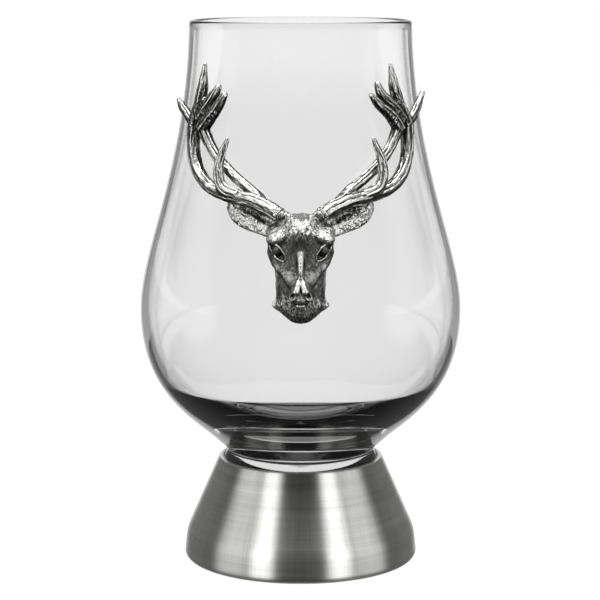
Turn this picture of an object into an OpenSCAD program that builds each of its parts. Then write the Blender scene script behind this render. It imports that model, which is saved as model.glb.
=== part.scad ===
// Whisky nosing glass on a spun metal foot, with a cast stag's head and antlers on its front.
// Millimetres, +Z up. The origin is on the table, on the axis of the glass. The stag faces -Y.

/* [Bowl] */
// Height of the rim above the table
rim_z = 113; // [104:0.5:124]
// Outside diameter of the rim
rim_d = 45.8; // [42:0.2:52]
// Outside diameter of the bowl at its widest
bowl_d = 67; // [62:0.5:72]
// Height of the widest point above the table
bowl_z = 53; // [48:0.5:58]
// Wall of the bowl, measured level
bowl_wall = 1.2; // [0.9:0.1:2]
// Height of the lowest point inside the bowl
floor_z = 35.2; // [32:0.2:38]
// Slope of the flare that rises from the waist, from level
flare_angle = 42; // [36:1:50]
// Length of the straight flare above the waist
flare_length = 4.5; // [2:0.5:7]

/* [Glass foot] */
// Diameter of the solid glass foot
glass_foot_d = 47.2; // [43:0.2:52]
// Height of the upright band at the bottom of the foot
band_height = 4.6; // [3:0.2:7]
// How far the band leans in over its height
band_draft = 0.5; // [0.1:0.1:1.5]
// Radius of the foot's bottom edge
foot_edge_r = 0.3; // [0.2:0.1:2]
// Radius of the shoulder between band and cone
shoulder_r = 9; // [3:0.5:14]
// Diameter of the waist between foot and bowl
waist_d = 30.6; // [27:0.2:34]
// Height of the waist above the table
waist_z = 23.4; // [21:0.2:27]
// Radius in the corner of the waist
waist_fillet = 0.9; // [0.3:0.1:2]
// Diameter of the hollow under the foot
dish_d = 33.4; // [28:0.2:38]
// Depth of the hollow under the foot
dish_depth = 0.9; // [0.3:0.1:2]

/* [Foot shell] */
// Height of the metal shell's lip above the table
shell_z = 21.6; // [18:0.2:22.6]
// Thickness of the spun metal
shell_wall = 0.8; // [0.5:0.1:1.4]
// Thickness of the adhesive between shell and glass
foot_film = 0.2; // [0.1:0.05:0.5]
// How far the adhesive stops below the lip
film_setback = 0.6; // [0.2:0.1:2]

/* [Stag head] */
// Height of the middle of the face above the table
face_z = 69; // [64:0.5:74]
// Half the distance between the eyes
eye_x = 4.3; // [3.6:0.1:4.8]
// Height of the eyes above the middle of the face
eye_up = 0.9; // [0:0.1:1.6]
// Radius of the eyeballs
eye_r = 0.95; // [0.7:0.05:1.2]
// Thickness of the adhesive behind the neck
neck_film = 0.3; // [0.15:0.05:0.6]
// Length of the ears
ear_length = 7; // [5:0.2:8]
// Thickness of the ears at the rim
ear_thickness = 0.9; // [0.6:0.1:1.4]

/* [Antlers] */
// Radius of the main beam just above the burr
beam_r = 1.25; // [1:0.05:1.5]
// Radius of the tips of the tines
tip_r = 0.28; // [0.2:0.02:0.4]
// Gap between the back of the antlers and the glass
antler_gap = 0.35; // [0.3:0.05:0.8]
// Turn of the right crown towards the middle, in degrees
right_crown_turn = 3; // [0:0.5:4]
// Thickness of the solder under the burrs
solder_gap = 0.15; // [0.1:0.05:0.3]
// Diameter of the adhesive dabs behind the crowns
dab_d = 2.4; // [1.5:0.1:3]

/* [Hidden] */

rim_r = rim_d / 2;
bowl_r = bowl_d / 2;
waist_r = waist_d / 2;
glass_foot_r = glass_foot_d / 2;
// The glass stands on the film and the metal under it
glass_z = shell_wall + foot_film;
// Samples along each curve of the bowl, and along each rounded corner
curve_steps = 22;
corner_steps = 8;
// Clearance between a faceted casting and the true surface that it seats on
seat_gap = 0.03;
// More than the reach of any cut
beyond = 60;
$fn = 96;

// Small helpers

function unit(v) = v / norm(v);
function mix(a, b, t) = a + (b - a) * t;
function bezier(p, t) =
    pow(1 - t, 3) * p[0] + 3 * t * pow(1 - t, 2) * p[1] + 3 * t * t * (1 - t) * p[2] + pow(t, 3) * p[3];
function bezier_points(p, n) = [for (i = [0:n]) bezier(p, i / n)];
// A smooth curve through every row of a list, whatever a row holds
function spline_at(p, i, t) =
    let (n = len(p) - 1, a = p[max(i - 1, 0)], b = p[i], c = p[min(i + 1, n)], d = p[min(i + 2, n)])
    0.5 * (2 * b + (c - a) * t + (2 * a - 5 * b + 4 * c - d) * t * t + (3 * b - a - 3 * c + d) * t * t * t);
function spline(p, n) = [for (i = [0:len(p) - 2], k = [0:n - 1]) spline_at(p, i, k / n), p[len(p) - 1]];
function reversed(p) = [for (i = [len(p) - 1:-1:0]) p[i]];
function tail(p) = [for (i = [1:len(p) - 1]) p[i]];

// Where two lines meet, each given by a point and a direction
function meet(p, u, q, v) = p + u * ((q - p)[0] * v[1] - (q - p)[1] * v[0]) / (u[0] * v[1] - u[1] * v[0]);
// A corner of a polyline as an arc of radius r that touches both of its sides
function corner_arc(a, b, c, r) =
    let (u = unit(a - b), v = unit(c - b), half = acos(u * v) / 2)
    r <= 0 || half > 89.9 ? [b] :
    let (m = unit(u + v), centre = b + m * r / sin(half), start = b + u * r / tan(half) - centre,
         end = b + v * r / tan(half) - centre, from = atan2(start[1], start[0]),
         turn = (atan2(end[1], end[0]) - from + 540) % 360 - 180)
    [for (i = [0:corner_steps]) let (g = from + turn * i / corner_steps) centre + r * [cos(g), sin(g)]];
function rounded(p, r) =
    [p[0], for (i = [1:len(p) - 2]) each corner_arc(p[i - 1], p[i], p[i + 1], r[i]), p[len(p) - 1]];

// Profile of the glass, as [radius, height]

// Corners of the glass foot, from the axis under it out and up to the waist
foot_corners = [
    [0, glass_z + dish_depth],
    [dish_d / 2 - 2 * dish_depth, glass_z + dish_depth],
    [dish_d / 2, glass_z],
    [glass_foot_r, glass_z],
    [glass_foot_r - band_draft, glass_z + band_height],
    [waist_r, waist_z],
];
// The foot's outline moved outwards by a distance, and cut off level at a height
function foot_side(i) = unit(foot_corners[i + 1] - foot_corners[i]);
function side_start(i, out) = foot_corners[i] + out * [foot_side(i)[1], -foot_side(i)[0]];
function foot_outline(out, top) =
    let (corners = [
        [0, foot_corners[0][1] - out],
        for (i = [1:4]) meet(side_start(i - 1, out), foot_side(i - 1), side_start(i, out), foot_side(i)),
        meet(side_start(4, out), foot_side(4), [0, top], [1, 0])])
    rounded(corners, [0, 0, 0, foot_edge_r + out, shoulder_r + out, 0]);

flare_end = [waist_r, waist_z] + flare_length * [cos(flare_angle), sin(flare_angle)];
// Handles of the two curves that make the bowl's outside: waist to belly, and belly to rim
lower_pull = 7;
belly_drop = (bowl_z - waist_z) * 0.56;
belly_rise = (rim_z - bowl_z) * 0.215;
rim_drop = (rim_z - bowl_z) * 0.5;
rim_lean = 0.8;
bowl_below = bezier_points([flare_end, flare_end + lower_pull * [cos(flare_angle), sin(flare_angle)],
                            [bowl_r, bowl_z - belly_drop], [bowl_r, bowl_z]], curve_steps);
function bowl_above(inset) =
    bezier_points([[bowl_r - inset, bowl_z], [bowl_r - inset, bowl_z + belly_rise],
                   [rim_r - inset + rim_lean, rim_z - bowl_wall / 2 - rim_drop],
                   [rim_r - inset, rim_z - bowl_wall / 2]], curve_steps);
// The cavity runs level with the outside down to the belly and then rounds in to a broad floor
floor_reach = (bowl_r - bowl_wall) * 0.8;
cavity_drop = bowl_z - floor_z;
cavity_below = bezier_points([[bowl_r - bowl_wall, bowl_z], [bowl_r - bowl_wall, bowl_z - cavity_drop],
                              [floor_reach, floor_z], [0, floor_z]], curve_steps);
// The rim is fire-polished to a half round
rim_bead = [for (i = [1:corner_steps - 1]) let (g = 180 * i / corner_steps)
            [rim_r - bowl_wall / 2, rim_z - bowl_wall / 2] + bowl_wall / 2 * [cos(g), sin(g)]];

waist_corner = corner_arc(foot_corners[4], [waist_r, waist_z], flare_end, waist_fillet);
bowl_outside = concat(bowl_below, tail(bowl_above(0)));

module crystal_glass() {
    foot = foot_outline(0, waist_z);
    outline = concat([for (i = [0:len(foot) - 2]) foot[i]], waist_corner, bowl_outside, rim_bead,
                     reversed(bowl_above(bowl_wall)), tail(cavity_below));
    color("white", 0.35) rotate_extrude() polygon(outline);
}

// Foot shell and the film that bonds it. The shell is a sleeve that goes on from below: its bottom edge is
// turned in under the glass foot as far as the hollow, and the hollow itself stays open.

function from_hollow(p) = [for (i = [2:len(p) - 1]) p[i]];

module foot_shell() {
    outside = from_hollow(foot_outline(foot_film + shell_wall, shell_z));
    inside = from_hollow(foot_outline(foot_film, shell_z));
    lip = corner_arc(outside[len(outside) - 2], outside[len(outside) - 1], inside[len(inside) - 1],
                     shell_wall * 0.6);
    color("silver") rotate_extrude()
        polygon(concat([for (i = [0:len(outside) - 2]) outside[i]], lip, reversed(inside)));
}

module foot_film_bond() {
    outside = from_hollow(foot_outline(foot_film, shell_z - film_setback));
    inside = from_hollow(foot_outline(0, shell_z - film_setback));
    color("whitesmoke", 0.6) rotate_extrude() polygon(concat(outside, reversed(inside)));
}

// Places on the bowl's front: an angle from the middle, a height and a distance off the glass

bowl_radius_at = [for (p = bowl_outside) [p[1], p[0]]];
function glass_r(z) = lookup(z, bowl_radius_at);
function on_bowl(angle, z, off) = [(glass_r(z) + off) * sin(angle), -(glass_r(z) + off) * cos(angle), z];
function off_bowl(angle) = [sin(angle), -cos(angle), 0];
// Places on the face: to the right, out from the glass behind it, and up from its middle
function face(x, out, up) = [x, -glass_r(face_z) - out, face_z + up];

// The bowl's outside, swollen by a distance, which cuts the back of what seats on it
module bowl_former(swell) {
    rotate_extrude() polygon([[0, bowl_outside[0][1]], for (p = bowl_outside) p + [swell, 0],
                              [0, bowl_outside[len(bowl_outside) - 1][1]]]);
}

// A tapered limb: rows of [angle, height, distance off the glass, radius] joined by a smooth curve

limb_sides = 10;
function limb_line(rows, n) = [for (q = spline(rows, n)) on_bowl(q[0], q[1], q[2])];
function limb_radii(rows, n) = [for (q = spline(rows, n)) q[3]];
function limb_out(rows, n) = [for (q = spline(rows, n)) off_bowl(q[0])];
function limb_ring(line, radii, out, i) =
    let (n = len(line) - 1, along = unit(line[min(i + 1, n)] - line[max(i - 1, 0)]),
         side = unit(cross(along, out[i])), front = cross(side, along))
    [for (k = [0:limb_sides - 1]) let (g = 360 * k / limb_sides)
        line[i] + radii[i] * (cos(g) * side + sin(g) * front)];

module limb(rows, n = 3) {
    line = limb_line(rows, n);
    radii = limb_radii(rows, n);
    out = limb_out(rows, n);
    last = len(line) - 1;
    points = [for (i = [0:last]) each limb_ring(line, radii, out, i)];
    s = limb_sides;
    walls = [for (i = [0:last - 1], k = [0:s - 1]) let (a = i * s + k, b = i * s + (k + 1) % s)
             each [[a, b, b + s], [a, b + s, a + s]]];
    caps = [[for (k = [s - 1:-1:0]) k], [for (k = [0:s - 1]) last * s + k]];
    polyhedron(points, concat(walls, caps));
}

module ball(at, r, fn = 10) translate(at) sphere(r, $fn = fn);

// Antlers

function behind(r) = antler_gap + r;
burr_rows = [6.6, face_z + 7.5, 5.6, beam_r];
// Main beam: out from the burr, round the side of the bowl and up into the top tine
function beam_rows(turn) = [
    burr_rows,
    [11, face_z + 8.8, 4.6, beam_r],
    [17, face_z + 9.9, 3.6, beam_r],
    [24, face_z + 10.4, 2.8, beam_r - 0.05],
    [31, face_z + 11, 2.2, beam_r - 0.08],
    [38.5, face_z + 12.1, 1.8, beam_r - 0.1],
    [45.5, face_z + 14.4, behind(beam_r) - 0.1, beam_r - 0.12],
    [50, face_z + 17.3, behind(beam_r) - 0.1, beam_r - 0.12],
    [52.5, face_z + 20.7, behind(beam_r) - 0.1, beam_r - 0.1],
    [53, face_z + 24.2, behind(beam_r), beam_r],
    [51 - turn / 2, face_z + 27.4, behind(beam_r), beam_r - 0.1],
    [50 - turn, face_z + 31.4, behind(beam_r), beam_r - 0.4],
    [49.6 - turn * 1.3, face_z + 35.6, behind(beam_r), tip_r],
];
// Rear limb: leaves the beam beside the ear and climbs behind the front tine to the crown
function rear_rows(turn) = [
    [14, face_z + 10, 3.4, beam_r - 0.35],
    [19, face_z + 11.8, 2.2, beam_r - 0.35],
    [26, face_z + 13.7, behind(beam_r) - 0.3, beam_r - 0.35],
    [32, face_z + 15.7, behind(beam_r) - 0.35, beam_r - 0.35],
    [37.5, face_z + 17.8, behind(beam_r) - 0.35, beam_r - 0.35],
    [42.5, face_z + 20.2, behind(beam_r) - 0.3, beam_r - 0.3],
    [47, face_z + 23, behind(beam_r) - 0.2, beam_r - 0.2],
    [49.5, face_z + 25, behind(beam_r), beam_r - 0.2],
];
// Front tine: rises off the beam clear of everything behind it
front_rows = [
    [23.5, face_z + 10.8, 3.2, beam_r - 0.2],
    [29.5, face_z + 12, 3.5, beam_r - 0.25],
    [32, face_z + 14.6, 3.8, beam_r - 0.35],
    [31.6, face_z + 17.8, 4.1, beam_r - 0.5],
    [29, face_z + 21.6, 4.3, tip_r],
];
// Side tine: turns out round the glass
function side_rows(turn) = [
    [53, face_z + 23.6, behind(beam_r), beam_r - 0.4],
    [60, face_z + 25.7, behind(beam_r) + 0.2, beam_r - 0.45],
    [64.8, face_z + 27.1 + turn / 4, behind(beam_r) + 0.5, beam_r - 0.6],
    [68.6 + turn / 2, face_z + 28.3 + turn / 2, behind(beam_r) + 0.8, tip_r],
];
// The two inner tines of the crown
function middle_rows(turn) = [
    [50, face_z + 24.8, behind(beam_r), beam_r - 0.05],
    [45.5 - turn / 4, face_z + 27.6, behind(beam_r), beam_r - 0.15],
    [42 - turn, face_z + 29.8, behind(beam_r), beam_r - 0.4],
    [39.6 - turn, face_z + 31.5 + turn / 5, behind(beam_r), tip_r],
];
function inner_rows(turn) = [
    [48, face_z + 22.8, behind(beam_r), beam_r - 0.05],
    [42.5 + turn / 4, face_z + 25.8, behind(beam_r), beam_r - 0.15],
    [38.6 - turn / 2, face_z + 28, behind(beam_r), beam_r - 0.4],
    [35.8 - turn, face_z + 30, behind(beam_r), tip_r],
];

// The swelling where a tine leaves the limb that carries it
module fork(rows) {
    hull() for (i = [0, 0.5]) let (q = mix(rows[0], rows[1], i)) ball(on_bowl(q[0], q[1], q[2]), q[3] * 1.02);
}
// The web of the crown between two tines that stand side by side
module web(a, b) {
    hull() {
        for (rows = [a, b]) ball(on_bowl(rows[0][0], rows[0][1], rows[0][2]), rows[0][3] * 0.8);
        for (rows = [a, b]) ball(on_bowl(rows[1][0], rows[1][1], rows[1][2]), rows[1][3] * 0.45);
    }
}

// The burr's axis is the beam's own first step
burr_at = on_bowl(burr_rows[0], burr_rows[1], burr_rows[2]);
burr_axis = unit(limb_line(beam_rows(0), 3)[1] - burr_at);
module along_burr() {
    tilt = acos(burr_axis[2]);
    heading = atan2(burr_axis[1], burr_axis[0]);
    translate(burr_at) rotate([0, tilt, heading]) children();
}

burr_pearls = 9;
burr_r = beam_r * 1.22;
module antler(turn) {
    beam = beam_rows(turn);
    top = [beam[9], beam[10]];
    forks = [rear_rows(turn), front_rows, side_rows(turn), middle_rows(turn), inner_rows(turn)];
    union() {
        limb(beam);
        for (rows = forks) {
            limb(rows);
            fork(rows);
        }
        web(top, middle_rows(turn));
        web(middle_rows(turn), inner_rows(turn));
        // The burr is a low collar with a ring of pearls
        along_burr() {
            cylinder(r1 = burr_r * 0.9, r2 = beam_r, h = beam_r * 0.8, $fn = 18);
            for (i = [0:burr_pearls - 1]) rotate(360 * i / burr_pearls)
                hull() {
                    translate([burr_r * 0.92, 0, beam_r * 0.28]) sphere(beam_r * 0.26, $fn = 6);
                    translate([burr_r * 0.72, 0, beam_r * 0.6]) sphere(beam_r * 0.26, $fn = 6);
                }
        }
    }
}
module right_antler() color("dimgray") antler(right_crown_turn);
module left_antler() color("dimgray") mirror([1, 0, 0]) antler(0);

pedicle_r = beam_r * 0.95;
module antler_solder() {
    color("silver") for (side = [0, 1]) mirror([side, 0, 0])
        along_burr() translate([0, 0, -solder_gap]) cylinder(r = pedicle_r, h = solder_gap);
}

// Dabs of adhesive between the crowns and the glass, where the rear limb joins the beam
dab_angle = 49.5;
dab_z = face_z + 24.2;
module antler_dabs() {
    color("whitesmoke", 0.6) for (side = [0, 1]) mirror([side, 0, 0]) intersection() {
        translate([0, 0, dab_z]) rotate([90, 0, dab_angle]) cylinder(d = dab_d, h = beyond);
        difference() {
            bowl_former(antler_gap - seat_gap);
            bowl_former(0);
        }
    }
}

// Stag's head

// Level sections of skull and muzzle: [up from the face's middle, half width, front, back]
skull_rows = [
    [7.4, 1, 0.8, -1],
    [6.9, 3.9, 2.7, -3],
    [5.3, 6.1, 5.2, -3],
    [3.4, 6.6, 6.65, -3],
    [1.2, 6.35, 7.05, -2.5],
    [-0.6, 5.8, 7.5, -1.5],
    [-2.2, 5.1, 8, -0.5],
    [-3.6, 4, 8.8, 1.2],
    [-4.8, 2.9, 9.8, 3.2],
    [-5.8, 2.35, 10.6, 4.6],
    [-7.6, 2.1, 11.1, 5.8],
    [-8.7, 1.8, 10.4, 6.2],
    [-9.7, 0.9, 8.6, 6.2],
];
skull_sides = 28;
skull_steps = 2;
function signed_pow(v, e) = sign(v) * pow(abs(v), e);
function skull_ring(q) =
    let (middle = mix(q[3], q[2], 0.4))
    [for (k = [0:skull_sides - 1]) let (g = 360 * k / skull_sides, s = signed_pow(sin(g), 0.86))
        face(q[1] * signed_pow(cos(g), 0.86), middle + (s > 0 ? q[2] - middle : middle - q[3]) * s, q[0])];
module skull() {
    rings = [for (q = spline(skull_rows, skull_steps)) skull_ring(q)];
    last = len(rings) - 1;
    s = skull_sides;
    walls = [for (i = [0:last - 1], k = [0:s - 1]) let (a = i * s + k, b = i * s + (k + 1) % s)
             each [[a, b + s, b], [a, a + s, b + s]]];
    caps = [[for (k = [0:s - 1]) k], [for (k = [s - 1:-1:0]) last * s + k]];
    polyhedron([for (ring = rings) each ring], concat(walls, caps));
}

module both_sides() {
    children();
    mirror([1, 0, 0]) children();
}

// Neck: two drawn-in stages that end in a pointed bib, each [x, out, up, radius]
neck_stages = [
    [[4.6, 0.6, 1, 1.4], [3.3, 2.6, -6, 1.4]],
    [[3.3, 2.6, -6, 1.4], [4.4, 2.9, -9.6, 0.7]],
    [[4.4, 2.9, -9.6, 0.7], [0.9, 3.6, -12.4, 0.8]],
];
// Each stage is a little rounder than flat across its middle
neck_crown = 0.7;
module neck() {
    for (stage = neck_stages) hull() for (q = stage) {
        for (side = [-1, 1], depth = [0, 3]) ball(face(side * q[0], q[1] - depth, q[2]), q[3]);
        ball(face(0, q[1] + neck_crown, q[2]), q[3]);
    }
}

module brow() hull() {
    ball(face(eye_x - 2.4, 6.2, eye_up + 1.4), 0.75);
    ball(face(eye_x - 0.2, 5.5, eye_up + 1.8), 0.8);
    ball(face(eye_x + 1.5, 3.8, eye_up + 1.2), 0.7);
}
module eye_socket() hull() {
    ball(face(eye_x - 1.5, 7, eye_up - 1.9), 0.5);
    ball(face(eye_x, 6.2, eye_up), 1.15);
    ball(face(eye_x + 1.2, 5.1, eye_up + 0.5), 0.7);
}
module eyeball() ball(face(eye_x, 4.8, eye_up), eye_r, 16);
module bridge() hull() {
    ball(face(0, 5.2, 3), 1.5, 14);
    ball(face(0, 6.4, 0), 1.2, 14);
    ball(face(0, 8.6, -4), 0.9, 14);
}
module forelock() for (x = [-1.4, 0, 1.4]) hull() {
    ball(face(x, 2.8, 6.2), 0.9);
    ball(face(x * 1.3, 6.2 - x * x / 12, 4), 0.5);
}
module nose_pad() hull() {
    for (x = [-1.2, 1.2]) ball(face(x, 10.6, -7), 0.95, 14);
    ball(face(0, 10.8, -7.6), 1.1, 14);
}
module nostril() hull() {
    ball(face(1.2, 11.6, -6.8), 0.45, 10);
    ball(face(1.75, 11.2, -7.5), 0.3, 10);
}
module mouth() hull() for (q = [[-1.5, 8.9], [0, 10], [1.5, 8.9]]) ball(face(q[0], q[1] + 0.3, -8.8), 0.22, 8);

// Ears: leaves that lie out along the bowl, hollowed towards the front, as [angle, up, off, half width]
ear_rows = [
    [10.5, 3.9, 2.4, 1.3],
    [15, 5.4, 2.3, 1.7],
    [20, 6.6, 1.9, 1.9],
    [12.5 + 2 * ear_length, 8.4, 1.1, 0.5],
];
ear_lean = 40;
// A thin disc that faces out from the bowl, as one rib of the leaf
module ear_rib(q, shrink, proud, thick) {
    translate(on_bowl(q[0], face_z + q[1], q[2] + proud)) rotate([0, 0, q[0]]) rotate([90, -ear_lean, 0])
        scale([1, 1, thick]) sphere(max(q[3] - shrink, 0.15), $fn = 14);
}
module ear() {
    difference() {
        for (i = [0:len(ear_rows) - 2]) hull() for (q = [ear_rows[i], ear_rows[i + 1]])
            ear_rib(q, 0, 0, ear_thickness / 2);
        for (i = [1:len(ear_rows) - 2]) hull() for (q = [ear_rows[i], ear_rows[i + 1]])
            ear_rib(q, 0.55, ear_thickness / 2, ear_thickness / 2);
    }
}
// A pedicle rises from the skull to the solder under its antler's burr
module pedicle() hull() {
    along_burr() translate([0, 0, -solder_gap - 0.6]) cylinder(r = pedicle_r, h = 0.6, $fn = 20);
    ball(face(2.2, 3.2, 5.4), 1.9, 14);
}

// The room that a burr needs over its solder, cut square to its axis
burr_clear = 0.4;
module burr_seat() along_burr() translate([0, 0, -solder_gap]) cylinder(r = burr_r + burr_clear, h = 4, $fn = 24);

module stag_head() {
    color("dimgray") difference() {
        union() {
            difference() {
                union() {
                    skull();
                    neck();
                    bridge();
                    forelock();
                    nose_pad();
                    both_sides() brow();
                }
                both_sides() eye_socket();
                both_sides() nostril();
                mouth();
            }
            both_sides() {
                eyeball();
                ear();
                pedicle();
            }
        }
        bowl_former(neck_film + seat_gap);
        both_sides() burr_seat();
    }
}

// The adhesive pad behind the neck: the bib's outline, drawn in a little
pad_inset = 0.8;
module neck_bond() {
    pad = [for (side = [1, -1]) for (q = side > 0 ? neck_stages : reversed(neck_stages))
           let (p = side > 0 ? q[0] : q[1]) [side * (p[0] - pad_inset), face_z + p[2]]];
    color("whitesmoke", 0.6) intersection() {
        rotate([90, 0, 0]) linear_extrude(beyond) polygon(pad);
        difference() {
            bowl_former(neck_film);
            bowl_former(0);
        }
    }
}

crystal_glass();
foot_shell();
foot_film_bond();
stag_head();
neck_bond();
left_antler();
right_antler();
antler_solder();
antler_dabs();
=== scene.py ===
"""Whisky nosing glass on a satin metal foot, with a cast pewter stag's head and antlers on its front.

The frame is in metres, the sizes below are in millimetres, and the stag faces -Y.
"""

import math

import bmesh
import bpy
import numpy as np
import openvdb
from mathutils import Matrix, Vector


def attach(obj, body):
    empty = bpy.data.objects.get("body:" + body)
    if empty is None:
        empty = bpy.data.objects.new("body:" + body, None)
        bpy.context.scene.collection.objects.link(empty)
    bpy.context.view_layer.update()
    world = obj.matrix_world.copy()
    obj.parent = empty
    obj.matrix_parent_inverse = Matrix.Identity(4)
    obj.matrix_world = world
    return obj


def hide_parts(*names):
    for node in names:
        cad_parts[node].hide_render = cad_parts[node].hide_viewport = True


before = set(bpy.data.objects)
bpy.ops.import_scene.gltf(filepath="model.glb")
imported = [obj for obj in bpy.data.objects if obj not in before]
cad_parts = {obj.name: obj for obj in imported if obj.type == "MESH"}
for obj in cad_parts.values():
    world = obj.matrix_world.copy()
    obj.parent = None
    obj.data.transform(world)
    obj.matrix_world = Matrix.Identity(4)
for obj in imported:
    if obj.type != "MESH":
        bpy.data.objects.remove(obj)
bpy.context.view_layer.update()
MM = 0.001

# Sizes of the glass and its foot, as in the solids

RIM_Z, RIM_R = 113.0, 22.9
BOWL_Z, BOWL_R, BOWL_WALL = 53.0, 33.5, 1.2
# The bowl's floor as sight lines through the glass show it, some 6 mm under the solid's: the wall keeps
# its thickness down to the knee, then thickens to the floor, which it meets in a soft turn
FLOOR_Z, FLOOR_WALL, FLOOR_TURN, KNEE_Z, KNEE_WALL = 29.1, 2.8, 5.0, 38.0, 1.3
FLARE_ANGLE, FLARE_LENGTH, LOWER_PULL = 42.0, 4.5, 7.0
# How far the bowl's curves hold their way, as shares of the heights below and above its widest place
BELLY_HOLD, SIDE_HOLD, RIM_HOLD = 0.56, 0.215, 0.5
WAIST_R, WAIST_Z, WAIST_FILLET = 15.3, 23.4, 0.9
FOOT_R, BAND_HEIGHT, BAND_DRAFT = 23.6, 4.6, 0.5
FOOT_EDGE_R, SHOULDER_R = 0.3, 9.0
DISH_R, DISH_DEPTH = 16.7, 0.9
SHELL_Z, SHELL_WALL, FOOT_FILM, FILM_SETBACK = 21.6, 0.8, 0.2, 0.6
GLASS_Z = SHELL_WALL + FOOT_FILM
RIM_LEAN = 0.8
# Air left on both sides of the adhesive film, so that no two clear faces share a place
FILM_AIR = 0.03

# Sizes of the stag

FACE_Z, NECK_FILM = 69.0, 0.33
BEAM_R, TIP_R, ANTLER_GAP = 1.25, 0.28, 0.35
RIGHT_CROWN_TURN, SOLDER = 3.0, 0.15
BURR_R, BURR_CLEAR = BEAM_R * 1.22, 0.4


# Profiles, as rows of [radius, height]

def bezier(p0, p1, p2, p3, steps):
    t = np.linspace(0, 1, steps + 1)[:, None]
    p0, p1, p2, p3 = map(np.asarray, (p0, p1, p2, p3))
    return (1 - t) ** 3 * p0 + 3 * t * (1 - t) ** 2 * p1 + 3 * t * t * (1 - t) * p2 + t ** 3 * p3


def unit(v):
    return v / np.linalg.norm(v)


def corner_arc(a, b, c, radius, steps=12):
    """The corner b of a polyline a, b, c as an arc that touches both sides."""
    a, b, c = map(np.asarray, (a, b, c))
    u, v = unit(a - b), unit(c - b)
    half = math.acos(float(u @ v)) / 2
    if radius <= 0 or half > 1.57:
        return b[None]
    centre = b + unit(u + v) * radius / math.sin(half)
    start, end = b + u * radius / math.tan(half) - centre, b + v * radius / math.tan(half) - centre
    first = math.atan2(start[1], start[0])
    turn = (math.atan2(end[1], end[0]) - first + 3 * math.pi) % (2 * math.pi) - math.pi
    g = first + turn * np.linspace(0, 1, steps + 1)
    return centre + radius * np.stack([np.cos(g), np.sin(g)], 1)


def meet(p, u, q, v):
    """Where a line through p along u meets a line through q along v."""
    d = q - p
    return p + u * (d[0] * v[1] - d[1] * v[0]) / (u[0] * v[1] - u[1] * v[0])


foot_corners = np.array([
    [0, GLASS_Z + DISH_DEPTH], [DISH_R - 2 * DISH_DEPTH, GLASS_Z + DISH_DEPTH], [DISH_R, GLASS_Z],
    [FOOT_R, GLASS_Z], [FOOT_R - BAND_DRAFT, GLASS_Z + BAND_HEIGHT], [WAIST_R, WAIST_Z]])
# Rows of the outline below that lie in the dish under the foot, which the shell leaves open
DISH_ROWS = 26
foot_sides = np.diff(foot_corners, axis=0)
foot_sides /= np.linalg.norm(foot_sides, axis=1)[:, None]


def foot_outline(out, top):
    """The foot's outline moved outwards, from the axis under it up to a level cut."""
    starts = foot_corners[:-1] + out * np.stack([foot_sides[:, 1], -foot_sides[:, 0]], 1)
    corners = [np.array([0, foot_corners[0, 1] - out])]
    corners += [meet(starts[i - 1], foot_sides[i - 1], starts[i], foot_sides[i]) for i in range(1, 5)]
    corners.append(meet(starts[4], foot_sides[4], np.array([0, top]), np.array([1.0, 0])))
    radii = [0, 0.3, 0.3, FOOT_EDGE_R + out, SHOULDER_R + out, 0]
    rows = [corners[0][None]]
    rows += [corner_arc(corners[i - 1], corners[i], corners[i + 1], radii[i]) for i in range(1, 5)]
    return np.concatenate(rows + [corners[5][None]])


flare_way = np.array([math.cos(math.radians(FLARE_ANGLE)), math.sin(math.radians(FLARE_ANGLE))])
waist = np.array([WAIST_R, WAIST_Z])
flare_end = waist + FLARE_LENGTH * flare_way
bowl_below = bezier(flare_end, flare_end + LOWER_PULL * flare_way,
                    [BOWL_R, BOWL_Z - BELLY_HOLD * (BOWL_Z - WAIST_Z)], [BOWL_R, BOWL_Z], 60)


def bowl_above(inset):
    top = RIM_Z - BOWL_WALL / 2
    return bezier([BOWL_R - inset, BOWL_Z], [BOWL_R - inset, BOWL_Z + SIDE_HOLD * (RIM_Z - BOWL_Z)],
                  [RIM_R - inset + RIM_LEAN, top - RIM_HOLD * (RIM_Z - BOWL_Z)], [RIM_R - inset, top], 70)


bowl_outside = np.concatenate([bowl_below, bowl_above(0)[1:]])


def glass_r(z):
    return np.interp(z, bowl_outside[:, 1], bowl_outside[:, 0])


def cavity_below():
    """The inside from the widest place down: an even wall that turns softly into a level floor."""
    outside = np.concatenate([np.linspace(0, 0.9, 7)[:, None] * FLARE_LENGTH * flare_way + waist, bowl_below])
    along = np.gradient(outside, axis=0)
    along /= np.linalg.norm(along, axis=1)[:, None]
    wall = np.interp(outside[:, 1], [FLOOR_Z, KNEE_Z, BOWL_Z], [FLOOR_WALL, KNEE_WALL, BOWL_WALL])
    inner = outside + wall[:, None] * np.stack([-along[:, 1], along[:, 0]], 1)
    inner = inner[inner[:, 1] > FLOOR_Z + FLOOR_TURN]
    way = inner[0] - inner[1]
    tip = inner[0] + way * (FLOOR_Z - inner[0, 1]) / way[1]
    flat = tip - [np.linalg.norm(tip - inner[0]), 0]
    turn = bezier(inner[0], inner[0] + 0.55 * (tip - inner[0]), flat + 0.55 * (tip - flat), flat, 24)
    level = np.linspace(1, 0, 7)[1:, None] * [flat[0], 0] + [0, FLOOR_Z]
    return np.concatenate([inner[::-1], turn[1:], level])


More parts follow.
